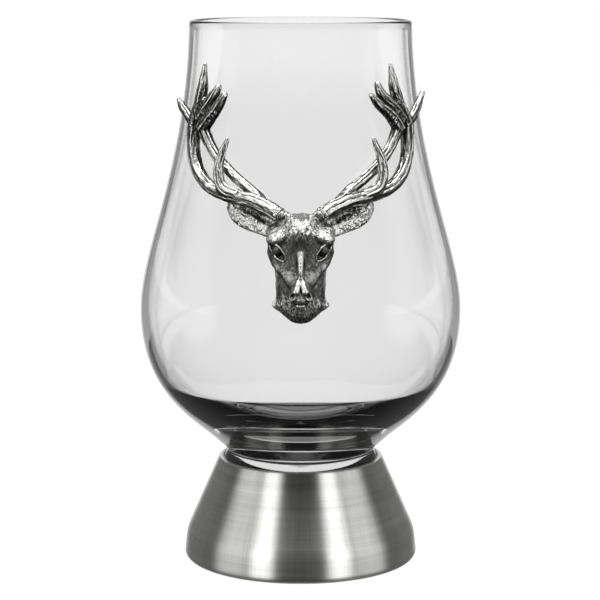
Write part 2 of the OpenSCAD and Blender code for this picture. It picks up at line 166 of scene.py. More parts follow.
def glass_profile():
    foot = foot_outline(0, WAIST_Z)[:-1]
    flare = np.linspace(0.3, 0.92, 6)[:, None] * FLARE_LENGTH * flare_way + waist
    angle = np.linspace(0, math.pi, 17)[1:-1, None]
    bead = np.array([RIM_R - BOWL_WALL / 2, RIM_Z - BOWL_WALL / 2])
    bead = bead + BOWL_WALL / 2 * np.concatenate([np.cos(angle), np.sin(angle)], 1)
    cone = np.linspace(0.02, 0.9, 8)[:, None] * (waist - foot[-1]) + foot[-1]
    return np.concatenate([foot, cone, corner_arc(foot_corners[4], waist, flare_end, WAIST_FILLET), flare,
                           bowl_outside, bead, bowl_above(BOWL_WALL)[::-1], cavity_below()[1:]])


def shell_profile():
    outside = foot_outline(FOOT_FILM + SHELL_WALL, SHELL_Z)
    inside = foot_outline(FOOT_FILM, SHELL_Z)
    lip = corner_arc(outside[-2], outside[-1], inside[-1], SHELL_WALL * 0.6)
    cone = np.linspace(0.02, 0.97, 16)[:, None] * (lip[0] - outside[-2]) + outside[-2]
    return np.concatenate([outside[DISH_ROWS:-1], cone, lip, inside[:DISH_ROWS - 1:-1]])


def film_profile():
    top = SHELL_Z - FILM_SETBACK
    outside, inside = foot_outline(FOOT_FILM - FILM_AIR, top), foot_outline(FILM_AIR, top)
    return np.concatenate([outside[DISH_ROWS:], inside[:DISH_ROWS - 1:-1]])


# Node trees

def add(tree, kind, inputs=(), operation=None, **settings):
    """Adds a node to a tree, with its settings, its input values and its links.

    The inputs are a list in order, or go by name or number, and a node stands for its first output. A Mix
    node has its share at 0, two numbers at 2 and 3, and two colours at 6 and 7 with their mix at output 2."""
    node = tree.nodes.new(kind if "Node" in kind else "ShaderNode" + kind)
    if operation:
        node.operation = operation
    for name, value in settings.items():
        setattr(node, name, value)
    for name, value in inputs.items() if isinstance(inputs, dict) else enumerate(inputs):
        if isinstance(value, bpy.types.Node):
            value = value.outputs[0]
        if isinstance(value, bpy.types.NodeSocket):
            tree.links.new(value, node.inputs[name])
        else:
            node.inputs[name].default_value = value
    return node


def linear(colour):
    """An sRGB hex colour as linear red, green, blue and a full alpha."""
    parts = [int(colour[i:i + 2], 16) / 255 for i in (1, 3, 5)]
    return [c / 12.92 if c <= 0.04045 else ((c + 0.055) / 1.055) ** 2.4 for c in parts] + [1.0]


def new_tree(name, sockets):
    """An empty Geometry Nodes tree with a mesh in, a mesh out and the named inputs between."""
    tree = bpy.data.node_groups.new(name, "GeometryNodeTree")
    tree.interface.new_socket("Mesh", in_out="INPUT", socket_type="NodeSocketGeometry")
    tree.interface.new_socket("Mesh", in_out="OUTPUT", socket_type="NodeSocketGeometry")
    for label, kind in sockets.items():
        tree.interface.new_socket(label, in_out="INPUT", socket_type="NodeSocket" + kind)
    return tree, tree.nodes.new("NodeGroupInput").outputs


def close_tree(tree, mesh, material):
    whole = add(tree, "GeometryNodeRealizeInstances", [mesh])
    dressed = add(tree, "GeometryNodeSetMaterial", {"Geometry": whole, "Material": material})
    add(tree, "NodeGroupOutput", [dressed])


def grow(name, mesh, tree, **values):
    """Runs a tree on a mesh and keeps the result as a plain mesh in a new object."""
    obj = bpy.data.objects.new(name, mesh)
    bpy.context.scene.collection.objects.link(obj)
    modifier = obj.modifiers.new("grow", "NODES")
    modifier.node_group = tree
    for socket in tree.interface.items_tree:
        if socket.in_out == "INPUT" and socket.name in values:
            modifier[socket.identifier] = values[socket.name]
    evaluated = obj.evaluated_get(bpy.context.evaluated_depsgraph_get())
    result = bpy.data.meshes.new_from_object(evaluated)
    obj.modifiers.clear()
    obj.data = result
    result.name = name
    return obj


def outward(obj):
    """Turns every face of a closed piece outwards."""
    work = bmesh.new()
    work.from_mesh(obj.data)
    bmesh.ops.recalc_face_normals(work, faces=work.faces)
    if work.calc_volume(signed=True) < 0:
        bmesh.ops.reverse_faces(work, faces=work.faces)
    work.to_mesh(obj.data)
    work.free()


def line_mesh(name, runs, **layers):
    """Points joined in runs, in millimetres, with a value at each point for every named layer."""
    points, edges = [], []
    for run in runs:
        edges += [(len(points) + i, len(points) + i + 1) for i in range(len(run) - 1)]
        points += [tuple(np.asarray(p) * MM) for p in run]
    mesh = bpy.data.meshes.new(name)
    mesh.from_pydata(points, edges, [])
    for label, values in layers.items():
        mesh.attributes.new(label, "FLOAT", "POINT").data.foreach_set("value", np.asarray(values, np.float32))
    return mesh


def turning_tree():
    """Turns a profile line about the upright axis, as a lathe or a blower's iron does."""
    tree, given = new_tree("turning", {"Around": "Int", "Material": "Material"})
    rows = add(tree, "GeometryNodeAttributeDomainSize", [given["Mesh"]]).outputs["Point Count"]
    columns = add(tree, "Math", [given["Around"], 1.0], "ADD")
    grid = add(tree, "GeometryNodeMeshGrid", {"Vertices X": rows, "Vertices Y": columns})
    index = add(tree, "GeometryNodeInputIndex")
    middle = add(tree, "Math", [index, 0.5], "ADD")
    share = add(tree, "Math", [middle, columns], "DIVIDE")
    row = add(tree, "Math", [share], "FLOOR")
    column = add(tree, "Math", [index, columns], "MODULO")
    step = add(tree, "Math", [2 * math.pi, given["Around"]], "DIVIDE")
    angle = add(tree, "Math", [column, step], "MULTIPLY")
    place = add(tree, "GeometryNodeInputPosition")
    sample = add(tree, "GeometryNodeSampleIndex", {"Geometry": given["Mesh"], "Value": place, "Index": row},
                 data_type="FLOAT_VECTOR")
    part = add(tree, "SeparateXYZ", [sample]).outputs
    cosine = add(tree, "Math", [angle], "COSINE")
    sine = add(tree, "Math", [angle], "SINE")
    x = add(tree, "Math", [part["X"], cosine], "MULTIPLY")
    y = add(tree, "Math", [part["X"], sine], "MULTIPLY")
    ring = add(tree, "CombineXYZ", [x, y, part["Z"]])
    placed = add(tree, "GeometryNodeSetPosition", {"Geometry": grid, "Position": ring})
    closed = add(tree, "GeometryNodeMergeByDistance", {"Geometry": placed, "Distance": 1e-7})
    smooth = add(tree, "GeometryNodeSetShadeSmooth", {"Geometry": closed})
    close_tree(tree, smooth, given["Material"])
    return tree


# Materials

def new_material(name):
    """An empty material, its tree and the object's own places in it."""
    material = bpy.data.materials.new(name)
    material.use_nodes = True
    tree = material.node_tree
    tree.nodes.clear()
    return material, tree, add(tree, "TexCoord").outputs["Object"]


def lead_free_crystal():
    # Blown and fire-polished crystal: clear with the faintest grey, sharp reflections, and a slow
    # waviness about 12 mm long left by the blowing that bends lines seen through it
    material, tree, place = new_material("lead_free_crystal")
    wave = add(tree, "TexNoise", {"Vector": place, "Scale": 1 / (12 * MM), "Detail": 1.0})
    bump = add(tree, "Bump", {"Height": wave, "Strength": 0.012, "Distance": MM})
    body = add(tree, "VolumeAbsorption", {"Color": linear("#808080"), "Density": 5.0})
    glass = add(tree, "BsdfPrincipled", {
        "Base Color": linear("#fafafa"), "Roughness": 0.0, "IOR": 1.54, "Transmission Weight": 1.0,
        "Normal": bump})
    add(tree, "OutputMaterial", {"Surface": glass, "Volume": body})
    return material


def satin_spun_steel():
    # Spun steel brushed on the lathe: bright satin with hair lines round the foot, and with broader bands.
    # The lines are really about 0.05 mm wide, and are drawn nine to the millimetre so that they show
    material, tree, place = new_material("satin_spun_steel")
    combed = add(tree, "Mapping", {"Vector": place, "Scale": (0.05 / MM, 0.05 / MM, 9 / MM)})
    lines = add(tree, "TexNoise", {"Vector": combed, "Scale": 1.0, "Detail": 3.0, "Roughness": 0.6})
    broad = add(tree, "Mapping", {"Vector": place, "Scale": (0.025 / MM, 0.025 / MM, 0.9 / MM)})
    bands = add(tree, "TexNoise", {"Vector": broad, "Scale": 1.0, "Detail": 2.0})
    both = add(tree, "Math", [lines, bands], "ADD")
    # Faint streaks up the side, about 0.3 mm wide, where the brush dwelt
    part = add(tree, "SeparateXYZ", [place]).outputs
    around = add(tree, "Math", [part["Y"], part["X"]], "ARCTAN2")
    upright = add(tree, "CombineXYZ", [around, part["Z"]])
    upright = add(tree, "Mapping", {"Vector": upright, "Scale": (FOOT_R / 0.295, 0.06 / MM, 1.0)})
    streaks = add(tree, "TexNoise", {"Vector": upright, "Scale": 1.0, "Detail": 2.0})
    both = add(tree, "Math", [streaks, 0.8, both], "MULTIPLY_ADD")
    tone = add(tree, "MapRange", [both, 1.0, 1.8])
    colour = add(tree, "Mix", {0: tone, 6: linear("#b9b9b5"), 7: linear("#dbdbd7")}, data_type="RGBA")
    rough = add(tree, "MapRange", [lines, 0.3, 0.7, 0.28, 0.36])
    bump = add(tree, "Bump", {"Height": lines, "Strength": 0.06, "Distance": 0.1 * MM})
    tangent = add(tree, "Tangent", direction_type="RADIAL", axis="Z")
    metal = add(tree, "BsdfPrincipled", {
        "Base Color": colour.outputs[2], "Metallic": 1.0, "Roughness": rough, "Anisotropic": 0.95,
        "Anisotropic Rotation": 0.25, "Normal": bump, "Tangent": tangent})
    add(tree, "OutputMaterial", {"Surface": metal})
    return material


def antiqued_pewter():
    # Cast pewter dipped in blackening and rubbed back: bright polished high places, near-black hollows and
    # a cast grain of about 0.8 mm, with painted shade and painted highlights mixed into the same dark and
    # bright.
    # Where the casting is furred, fine hair runs down it, drawn three hairs to the millimetre so that it
    # shows
    material, tree, place = new_material("antiqued_pewter")
    hollow_patina_and_painted_shade = add(tree, "Attribute", attribute_name="hollow_patina_and_painted_shade").outputs["Fac"]
    grain = add(tree, "TexNoise", {"Vector": place, "Scale": 1 / (0.8 * MM), "Detail": 4.0})
    uneven = add(tree, "MapRange", [grain, 0.3, 0.7, -0.12, 0.12])
    depth = add(tree, "Math", [hollow_patina_and_painted_shade, uneven], "ADD")
    furred = add(tree, "Attribute", attribute_name="furred").outputs["Fac"]
    combed = add(tree, "Mapping", {"Vector": place, "Scale": (2.9 / MM, 2.9 / MM, 1.7 / MM)})
    hairs = add(tree, "TexNoise", {"Vector": combed, "Scale": 1.0, "Detail": 3.0, "Roughness": 0.6})
    tuft = add(tree, "MapRange", [hairs, 0.3, 0.7, -0.55, 0.55])
    depth = add(tree, "Math", [tuft, furred, depth], "MULTIPLY_ADD")
    black = add(tree, "MapRange", [depth, -0.85, 0.15])
    pit = add(tree, "MapRange", [depth, 0.2, 0.8])
    dark = add(tree, "Mix", {0: pit, 6: linear("#4a4a49"), 7: linear("#202020")}, data_type="RGBA")
    colour = add(tree, "Mix", {0: black, 6: linear("#dededb"), 7: dark.outputs[2]}, data_type="RGBA")
    rough = add(tree, "MapRange", [black, 0.0, 1.0, 0.18, 0.42])
    twice = add(tree, "Math", [furred, 2.0], "MULTIPLY")
    lift = add(tree, "Math", [hairs, twice, grain], "MULTIPLY_ADD")
    bump = add(tree, "Bump", {"Height": lift, "Strength": 0.5, "Distance": 0.2 * MM})
    metal = add(tree, "BsdfPrincipled", {
        "Base Color": colour.outputs[2], "Metallic": 1.0, "Roughness": rough, "Normal": bump})
    add(tree, "OutputMaterial", {"Surface": metal})
    return material


def soft_solder():
    # Soft solder wiped round the seam: dull grey with a slightly lumpy skin of about 0.4 mm
    material, tree, place = new_material("soft_solder")
    lumps = add(tree, "TexNoise", {"Vector": place, "Scale": 1 / (0.4 * MM), "Detail": 2.0})
    colour = add(tree, "Mix", {0: lumps, 6: linear("#3c3c3b"), 7: linear("#7a7a78")}, data_type="RGBA")
    metal = add(tree, "BsdfPrincipled", {"Base Color": colour.outputs[2], "Metallic": 1.0, "Roughness": 0.45})
    add(tree, "OutputMaterial", {"Surface": metal})
    return material


def clear_adhesive():
    # Cured clear adhesive: a thin water-white film, slightly milky, with bubbles of about 0.5 mm
    material, tree, place = new_material("clear_adhesive")
    milk = add(tree, "TexNoise", {"Vector": place, "Scale": 1 / (0.5 * MM), "Detail": 1.0})
    haze = add(tree, "MapRange", [milk, 0.3, 0.7, 0.08, 0.2])
    film = add(tree, "BsdfPrincipled", {"Base Color": linear("#e9e9e6"), "Roughness": 0.15, "Alpha": haze})
    add(tree, "OutputMaterial", {"Surface": film})
    return material


crystal, steel, pewter = lead_free_crystal(), satin_spun_steel(), antiqued_pewter()
solder, adhesive = soft_solder(), clear_adhesive()

# Glass, foot shell and film, turned from their profiles

turning = turning_tree()
for name, profile, around, material, node, slot in (
        ("bowl_of_crystal", glass_profile(), 256, crystal, "crystal_glass", "crystal"),
        ("spun_foot", shell_profile(), 256, steel, "foot_shell", "satin_metal"),
        ("film_in_foot", film_profile(), 128, adhesive, "foot_film_bond", "adhesive")):
    line = [(r, 0, z) for r, z in profile]
    if name != "bowl_of_crystal":
        line.append(line[0])
    piece = grow(name, line_mesh(name, [line]), turning, Around=around, Material=material)
    outward(piece)
    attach(piece, "root")
    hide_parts(node)

# Stag's antlers: limbs that follow lines wrapped round the bowl

def wrap(angle, up, off):
    """A point over the bowl: degrees round from the front, height over the face, distance off the glass."""
    z = FACE_Z + np.asarray(up, float)
    r = glass_r(z) + off
    g = np.radians(angle)
    return np.stack([r * np.sin(g), -r * np.cos(g), z], -1)


def spline(rows, steps):
    """A smooth line through rows of numbers."""
    rows = np.asarray(rows, float)
    before = np.concatenate([2 * rows[:1] - rows[1:2], rows, 2 * rows[-1:] - rows[-2:-1]])
    t = np.linspace(0, 1, steps, endpoint=False)[:, None]
    out = []
    for a, b, c, d in zip(before, before[1:], before[2:], before[3:]):
        out.append(0.5 * (2 * b + (c - a) * t + (2 * a - 5 * b + 4 * c - d) * t ** 2
                          + (3 * b - a - 3 * c + d) * t ** 3))
    return np.concatenate(out + [rows[-1:]])


BURR_ROW = [6.6, 7.5, 5.6, BEAM_R]
# Given back to each limb's radius, because the rounding of the forks takes it off
ROUNDED_OFF = 0.17
# How far up the beam the burr's pearls stand, and a length between limbs so that no two are furrowed alike
PEARLS_AT, LIMBS_APART = 0.45, 40


def antler_limbs(turn):
    """Rows of [degrees, height over the face, distance off the glass, radius] for each limb of one antler."""
    b, off = BEAM_R, ANTLER_GAP + BEAM_R
    beam = [
        BURR_ROW, [11, 8.8, 4.6, b + 0.1], [17, 9.9, 3.6, b + 0.1], [24, 10.4, 2.8, b],
        [31, 11, 2.2, b - 0.05], [38.5, 12.1, 1.8, b - 0.1], [45.5, 14.4, off - 0.1, b - 0.12],
        [50, 17.3, off - 0.1, b - 0.12], [52.5, 20.7, off - 0.1, b - 0.1], [53, 24.2, off, b],
        [51 - turn / 2, 27.4, off, b - 0.1], [50 - turn, 31.4, off, b - 0.35],
        [49.6 - 1.3 * turn, 35.6, off, TIP_R]]
    rear = [
        [14, 10, 3.4, b - 0.35], [19, 11.8, 2.2, b - 0.35], [26, 13.7, off - 0.3, b - 0.35],
        [32, 15.7, off - 0.35, b - 0.35], [37.5, 17.8, off - 0.35, b - 0.35],
        [42.5, 20.2, off - 0.3, b - 0.3], [47, 23, off - 0.2, b - 0.2], [49.5, 25, off, b - 0.2]]
    front = [
        [23.5, 10.8, 3.2, b - 0.2], [29.5, 12, 3.5, b - 0.25], [32, 14.6, 3.8, b - 0.35],
        [31.6, 17.8, 4.1, b - 0.5], [29, 21.6, 4.3, TIP_R]]
    side = [
        [53, 23.6, off, b - 0.4], [60, 25.7, off + 0.2, b - 0.45],
        [64.8, 27.1 + turn / 4, off + 0.5, b - 0.6], [68.6 + turn / 2, 28.3 + turn / 2, off + 0.8, TIP_R]]
    middle = [
        [50, 24.8, off, b - 0.05], [45.5 - turn / 4, 27.6, off, b - 0.15], [42 - turn, 29.8, off, b - 0.35],
        [39.8 - turn, 31.3 + turn / 5, off, TIP_R + 0.25]]
    inner = [
        [48, 22.8, off, b - 0.05], [42.5 + turn / 4, 25.8, off, b - 0.15],
        [38.6 - turn / 2, 28, off, b - 0.35], [36 - turn, 29.8, off, TIP_R + 0.3 - turn / 15]]
    # Webs that fill the palm of the crown between its tines
    webs = [
        [[51.5, 25.5, off, b - 0.15], [48.5 - turn / 3, 28.6, off - 0.1, b - 0.4]],
        [[49, 24.2, off, b - 0.1], [43.5, 27, off - 0.1, b - 0.4]],
        [[51, 26.4, off, b - 0.2], [46.6, 26.4, off, b - 0.2], [43.4 + turn / 4, 25.4, off, b - 0.3]],
        [[50.6 - turn / 2, 28, off, b - 0.4], [46, 27.8, off, b - 0.35],
         [42 + turn / 8, 26.6, off, b - 0.4]]]
    return [beam, rear, front, side, middle, inner] + webs


def antler_tree():
    """Fluted limbs and a pearled burr, run together, weathered, rubbed and given painted shade on their
    undersides, as one casting.
    """
    tree, given = new_tree("antler", {
        "Flutes": "Int", "Flute Depth": "Float", "Voxel": "Float", "Pearls": "Int", "Pearl Ring": "Float",
        "Pearl Size": "Float", "Burr Place": "Vector", "Burr Turn": "Vector", "Weathering": "Float",
        "Drawn Out": "Float", "Seed": "Int", "Rounding": "Int", "Recess Depth": "Float",
        "Material": "Material"})
    lines = add(tree, "GeometryNodeMeshToCurve", [given["Mesh"]])
    girth = add(tree, "GeometryNodeInputNamedAttribute", {"Name": "girth"}, data_type="FLOAT")
    ring = add(tree, "GeometryNodeCurvePrimitiveCircle", {"Resolution": 36, "Radius": 1.0}, mode="RADIUS")
    place = add(tree, "GeometryNodeInputPosition")
    part = add(tree, "SeparateXYZ", [place]).outputs
    angle = add(tree, "Math", [part[1], part[0]], "ARCTAN2")
    turns = add(tree, "Math", [angle, given["Flutes"]], "MULTIPLY")
    wave = add(tree, "Math", [turns], "COSINE")
    swell = add(tree, "Math", [wave, given["Flute Depth"], 1.0], "MULTIPLY_ADD")
    fluted = add(tree, "VectorMath", {0: place, "Scale": swell}, "SCALE")
    profile = add(tree, "GeometryNodeSetPosition", {"Geometry": ring, "Position": fluted})
    limbs = add(tree, "GeometryNodeCurveToMesh", {"Curve": lines, "Profile Curve": profile,
                                                  "Scale": girth, "Fill Caps": True})
    # The pearls stand on a ring round the burr, each of its own size
    collar = add(tree, "GeometryNodeMeshCircle", {"Vertices": given["Pearls"], "Radius": given["Pearl Ring"]})
    pearl = add(tree, "GeometryNodeMeshIcoSphere", {"Radius": given["Pearl Size"], "Subdivisions": 3})
    size = add(tree, "FunctionNodeRandomValue", {2: 0.75, 3: 1.2, "Seed": given["Seed"]}, data_type="FLOAT")
    pearls = add(tree, "GeometryNodeInstanceOnPoints", {"Points": collar, "Instance": pearl,
                                                        "Scale": size.outputs[1]})
    pearls = add(tree, "GeometryNodeRealizeInstances", [pearls])
    pearls = add(tree, "GeometryNodeTransform", {"Geometry": pearls, "Translation": given["Burr Place"],
                                                 "Rotation": given["Burr Turn"]})
    both = add(tree, "GeometryNodeJoinGeometry", [limbs])
    tree.links.new(pearls.outputs[0], both.inputs[0])
    band = add(tree, "Math", [given["Voxel"], 3.0], "MULTIPLY")
    solid = add(tree, "GeometryNodeMeshToVolume", {
        "Mesh": both, "Density": 1.0, "Interior Band Width": band, "Voxel Size": given["Voxel"]},
        resolution_mode="VOXEL_SIZE")
    skin = add(tree, "GeometryNodeVolumeToMesh", {"Volume": solid, "Threshold": 0.05,
                                                  "Voxel Size": given["Voxel"]}, resolution_mode="VOXEL_SIZE")
    # The sharp creases at the forks are filled, as metal fills them
    even = add(tree, "GeometryNodeBlurAttribute", {"Value": place, "Iterations": given["Rounding"]},
               data_type="FLOAT_VECTOR")
    skin = add(tree, "GeometryNodeSetPosition", {"Geometry": skin, "Position": even})
    # Furrows along each limb: noise in the limb's own places, drawn out lengthwise
    run = add(tree, "GeometryNodeCurveToPoints", {"Curve": lines}, mode="EVALUATED").outputs
    near = add(tree, "GeometryNodeSampleNearest", {"Geometry": run[0]}, domain="POINT")
    length = add(tree, "GeometryNodeInputNamedAttribute", {"Name": "length"}, data_type="FLOAT")
    found = []
    for value, kind in ((place, "FLOAT_VECTOR"), (run["Tangent"], "FLOAT_VECTOR"),
                        (run["Normal"], "FLOAT_VECTOR"), (length, "FLOAT")):
        found.append(add(tree, "GeometryNodeSampleIndex", {"Geometry": run[0], "Value": value, "Index": near},
                         data_type=kind, domain="POINT"))
    off = add(tree, "VectorMath", [place, found[0]], "SUBTRACT")
    third = add(tree, "VectorMath", [found[1], found[2]], "CROSS_PRODUCT")
    parts = [add(tree, "VectorMath", [off, way], "DOT_PRODUCT").outputs["Value"]
             for way in (found[2], third, found[1])]
    along = add(tree, "Math", [parts[2], found[3]], "ADD")
    along = add(tree, "Math", [along, given["Drawn Out"]], "DIVIDE")
    drawn = add(tree, "CombineXYZ", [parts[0], parts[1], along])
    furrow = add(tree, "TexNoise", {
        "Vector": drawn, "Scale": 1 / (0.45 * MM), "Detail": 3.0, "Roughness": 0.55})
    depth = add(tree, "Math", [furrow, 0.56], "SUBTRACT")
    depth = add(tree, "Math", [depth, given["Weathering"]], "MULTIPLY")
    normal = add(tree, "GeometryNodeInputNormal")
    move = add(tree, "VectorMath", {0: normal, "Scale": depth}, "SCALE")
    skin = add(tree, "GeometryNodeSetPosition", {"Geometry": skin, "Offset": move})
    # The crown, from 18 to 33 mm over the face, is made darker than the beam below it and the tips above it
    high = add(tree, "SeparateXYZ", [place]).outputs["Z"]
    crown = add(tree, "MapRange", [high, (FACE_Z + 18) * MM, (FACE_Z + 22) * MM])
    above = add(tree, "MapRange", [high, (FACE_Z + 33) * MM, (FACE_Z + 29) * MM])
    crown = add(tree, "Math", [crown, above], "MULTIPLY")
    crown = add(tree, "Math", [crown, 0.3], "MULTIPLY")
    close_casting(tree, skin, given, ((4, 0.6), (24, 0.4)), crown)
    return tree


def close_casting(tree, skin, given, scales, unrubbed_and_painted_light=0.0):
    """Notes at each point how deep it lies in a hollow, adds painted shade and highlights, smooths the
    shading and ends the tree.

    The scales are rounds of blurring, each with its share."""
    place = add(tree, "GeometryNodeInputPosition")
    normal = add(tree, "GeometryNodeInputNormal")
    total = None
    for steps, share in scales:
        even = add(tree, "GeometryNodeBlurAttribute", {"Value": place, "Iterations": steps},
                   data_type="FLOAT_VECTOR")
        way = add(tree, "VectorMath", [even, place], "SUBTRACT")
        deep = add(tree, "VectorMath", [way, normal], "DOT_PRODUCT").outputs["Value"]
        deep = add(tree, "Math", [deep, share], "MULTIPLY")
        total = deep if total is None else add(tree, "Math", [total, deep])
    hollow_patina_and_painted_shade = add(tree, "Math", [total, given["Recess Depth"]], "DIVIDE")
    # Painted shade and light: the undersides are made darker and the upper sides lighter, by the way the
    # surface faces
    facing = add(tree, "SeparateXYZ", [normal]).outputs["Z"]
    under = add(tree, "MapRange", [facing, 0.6, -0.4, -0.35, 0.35])
    hollow_patina_and_painted_shade = add(tree, "Math", [hollow_patina_and_painted_shade, under], "ADD")
    # Then the darkening and the painted highlights and shade given to the casting are added
    hollow_patina_and_painted_shade = add(tree, "Math", [hollow_patina_and_painted_shade, unrubbed_and_painted_light], "ADD")
    noted = add(tree, "GeometryNodeStoreNamedAttribute", {
        "Geometry": skin, "Name": "hollow_patina_and_painted_shade", "Value": hollow_patina_and_painted_shade}, data_type="FLOAT", domain="POINT")
    smooth = add(tree, "GeometryNodeSetShadeSmooth", {"Geometry": noted})
    close_tree(tree, smooth, given["Material"])


def casting_tree():
    """The rubbed and blackened finish of a casting whose form is already there, with the painted highlights
    and shade given at its points.
    """
    tree, given = new_tree("casting", {"Recess Depth": "Float", "Material": "Material"})
    unrubbed_and_painted_light = add(tree, "GeometryNodeInputNamedAttribute", {"Name": "unrubbed_and_painted_light"}, data_type="FLOAT")
    close_casting(tree, given["Mesh"], given, ((4, 0.35), (24, 0.35)), unrubbed_and_painted_light)
    return tree


burr_at = wrap(*BURR_ROW[:3])
beam_start = spline([list(wrap(*row[:3])) for row in antler_limbs(0)[0]], 3)
burr_way = unit(beam_start[1] - beam_start[0])

antler = antler_tree()
for name, node, side, turn in (("left_antler_cast", "left_antler", -1, 0.0),
                               ("right_antler_cast", "right_antler", 1, RIGHT_CROWN_TURN)):
    runs, girths, lengths = [], [], []
    for rows in antler_limbs(turn):
        line = spline([[*wrap(*row[:3]), row[3]] for row in rows], 8)
        # The tip is rounded off
        way, r = unit(line[-1, :3] - line[-2, :3]), line[-1, 3] + ROUNDED_OFF
        line = np.concatenate([line, [[*(line[-1, :3] + r * math.sin(g) * way), r * math.cos(g) - ROUNDED_OFF]
                                      for g in (0.5, 0.9, 1.3)]])
        runs.append(line[:, :3] * [side, 1, 1])
        girths += list((line[:, 3] + ROUNDED_OFF) * MM)
        steps = np.linalg.norm(np.diff(line[:, :3], axis=0), axis=1)
        lengths += list((np.concatenate([[0], np.cumsum(steps)]) + LIMBS_APART * len(runs)) * MM)
    axis = Vector(burr_way * [side, 1, 1])
    base = burr_at * [side, 1, 1] + PEARLS_AT * np.array(axis)
    mesh = line_mesh(name, runs, girth=girths, length=lengths)
    piece = grow(name, mesh, antler, Material=pewter, Voxel=0.12 * MM, Flutes=7, Pearls=11, Seed=4,
                 Rounding=3, Weathering=0.5 * MM,
                 **{"Drawn Out": 6.0, "Flute Depth": 0.07, "Recess Depth": 0.07 * MM,
                    "Pearl Ring": 1.32 * MM, "Pearl Size": 0.36 * MM, "Burr Place": base * MM,
                    "Burr Turn": axis.to_track_quat("Z", "Y").to_euler()})
    outward(piece)
    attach(piece, "root")
    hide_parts(node)


# Stag's head, modelled as in clay

# The clay is a field of distances to its surface, in millimetres, and its places are [aside, out, up] from
# the glass at the middle of the face
FACE_R = float(glass_r(FACE_Z))
CLAY_STEP = 0.127


class Clay:
    def __init__(self, aside, out, up):
        self.axes = [np.arange(low, high, CLAY_STEP) for low, high in (aside, out, up)]
        self.field = np.full([len(a) for a in self.axes], 3.0, np.float32)

    def near(self, low, high, margin=1.2):
        """The part of the field round a box, and its places."""
        cuts = []
        for axis, a, b in zip(self.axes, low, high):
            first = int(np.clip((a - margin - axis[0]) / CLAY_STEP, 0, len(axis) - 1))
            last = int(np.clip((b + margin - axis[0]) / CLAY_STEP + 2, first + 1, len(axis)))
            cuts.append(slice(first, last))
        places = np.meshgrid(*[a[c] for a, c in zip(self.axes, cuts)], indexing="ij", sparse=True)
        return tuple(cuts), places

    def put(self, cuts, distance, soft, cut=False):
        """Adds a form to the clay, or cuts it away, with a soft seam that wide."""
        was = -self.field[cuts] if cut else self.field[cuts]
        share = np.clip(0.5 + 0.5 * (was - distance) / soft, 0, 1)
        new = was + (distance - was) * share - soft * share * (1 - share)
        self.field[cuts] = -new if cut else new

    def egg(self, centre, radii, soft, axes=None, cut=False):
        """An egg of clay with a radius along each of its axes."""
        centre, axes = np.asarray(centre, float), np.eye(3) if axes is None else np.asarray(axes)
        reach = np.sqrt(((axes * np.asarray(radii)[:, None]) ** 2).sum(0))
        cuts, places = self.near(centre - reach, centre + reach)
        gaps = [p - c for p, c in zip(places, centre)]
        local = [sum(g * a for g, a in zip(gaps, axis)) for axis in axes]
        near = np.sqrt(sum((q / r) ** 2 for q, r in zip(local, radii)))
        steep = np.sqrt(sum((q / r ** 2) ** 2 for q, r in zip(local, radii)))
        self.put(cuts, near * (near - 1) / np.maximum(steep, 1e-6), soft, cut)

    def roll(self, points, radii, soft, cut=False):
        """A rolled strip of clay through points, with a radius at each."""
        points = np.asarray(points, float)
        radii = np.broadcast_to(np.asarray(radii, float), len(points))
        cuts, places = self.near(points.min(0) - radii.max(), points.max(0) + radii.max(), max(0.4, soft))
        best = None
        for a, b, ra, rb in zip(points, points[1:], radii, radii[1:]):
            way = b - a
            gaps = [p - c for p, c in zip(places, a)]
            t = np.clip(sum(g * w for g, w in zip(gaps, way)) / (way @ way), 0, 1)
            d = np.sqrt(sum((g - w * t) ** 2 for g, w in zip(gaps, way))) - (ra + (rb - ra) * t)
            best = d if best is None else np.minimum(best, d)
        self.put(cuts, best, soft, cut)

    def front(self):
        """How far out the surface lies, for each place aside and up."""
        solid = self.field < 0
        last = solid.shape[1] - 1 - np.argmax(solid[:, ::-1], axis=1)
        return np.where(solid.any(1), self.axes[1][last], np.nan)


def smooth_rows(rows, at, width=0.8):
    """Columns of a table read smoothly at every height."""
    rows = np.asarray(rows, float)[::-1]
    n = int(width / CLAY_STEP) | 1
    out = []
    for column in rows.T[1:]:
        values = np.interp(at, rows[:, 0], column)
        for _ in range(2):
            values = np.convolve(np.pad(values, n // 2, mode="edge"), np.ones(n) / n, "valid")
        out.append(values)
    return out


def from_line(x, u, a, b):
    """How far along a line from a to b places lie, as a share of it, and how far from it."""
    dx, du = b[0] - a[0], b[1] - a[1]
    t = np.clip(((x - a[0]) * dx + (u - a[1]) * du) / (dx * dx + du * du), 0, 1)
    return t, np.hypot(x - a[0] - t * dx, u - a[1] - t * du)


def frame_of(along, facing):
    """Three square axes: along a line, across it, and facing out."""
    a = unit(np.asarray(along, float))
    n = unit(np.asarray(facing, float) - np.dot(facing, a) * a)
    return np.array([a, np.cross(n, a), n])


half = Clay((0, 15), (-6.6, 13.8), (-14.6, 10.4))
cuts, (x, o, u) = half.near((0, -9, -20), (20, 20, 20))

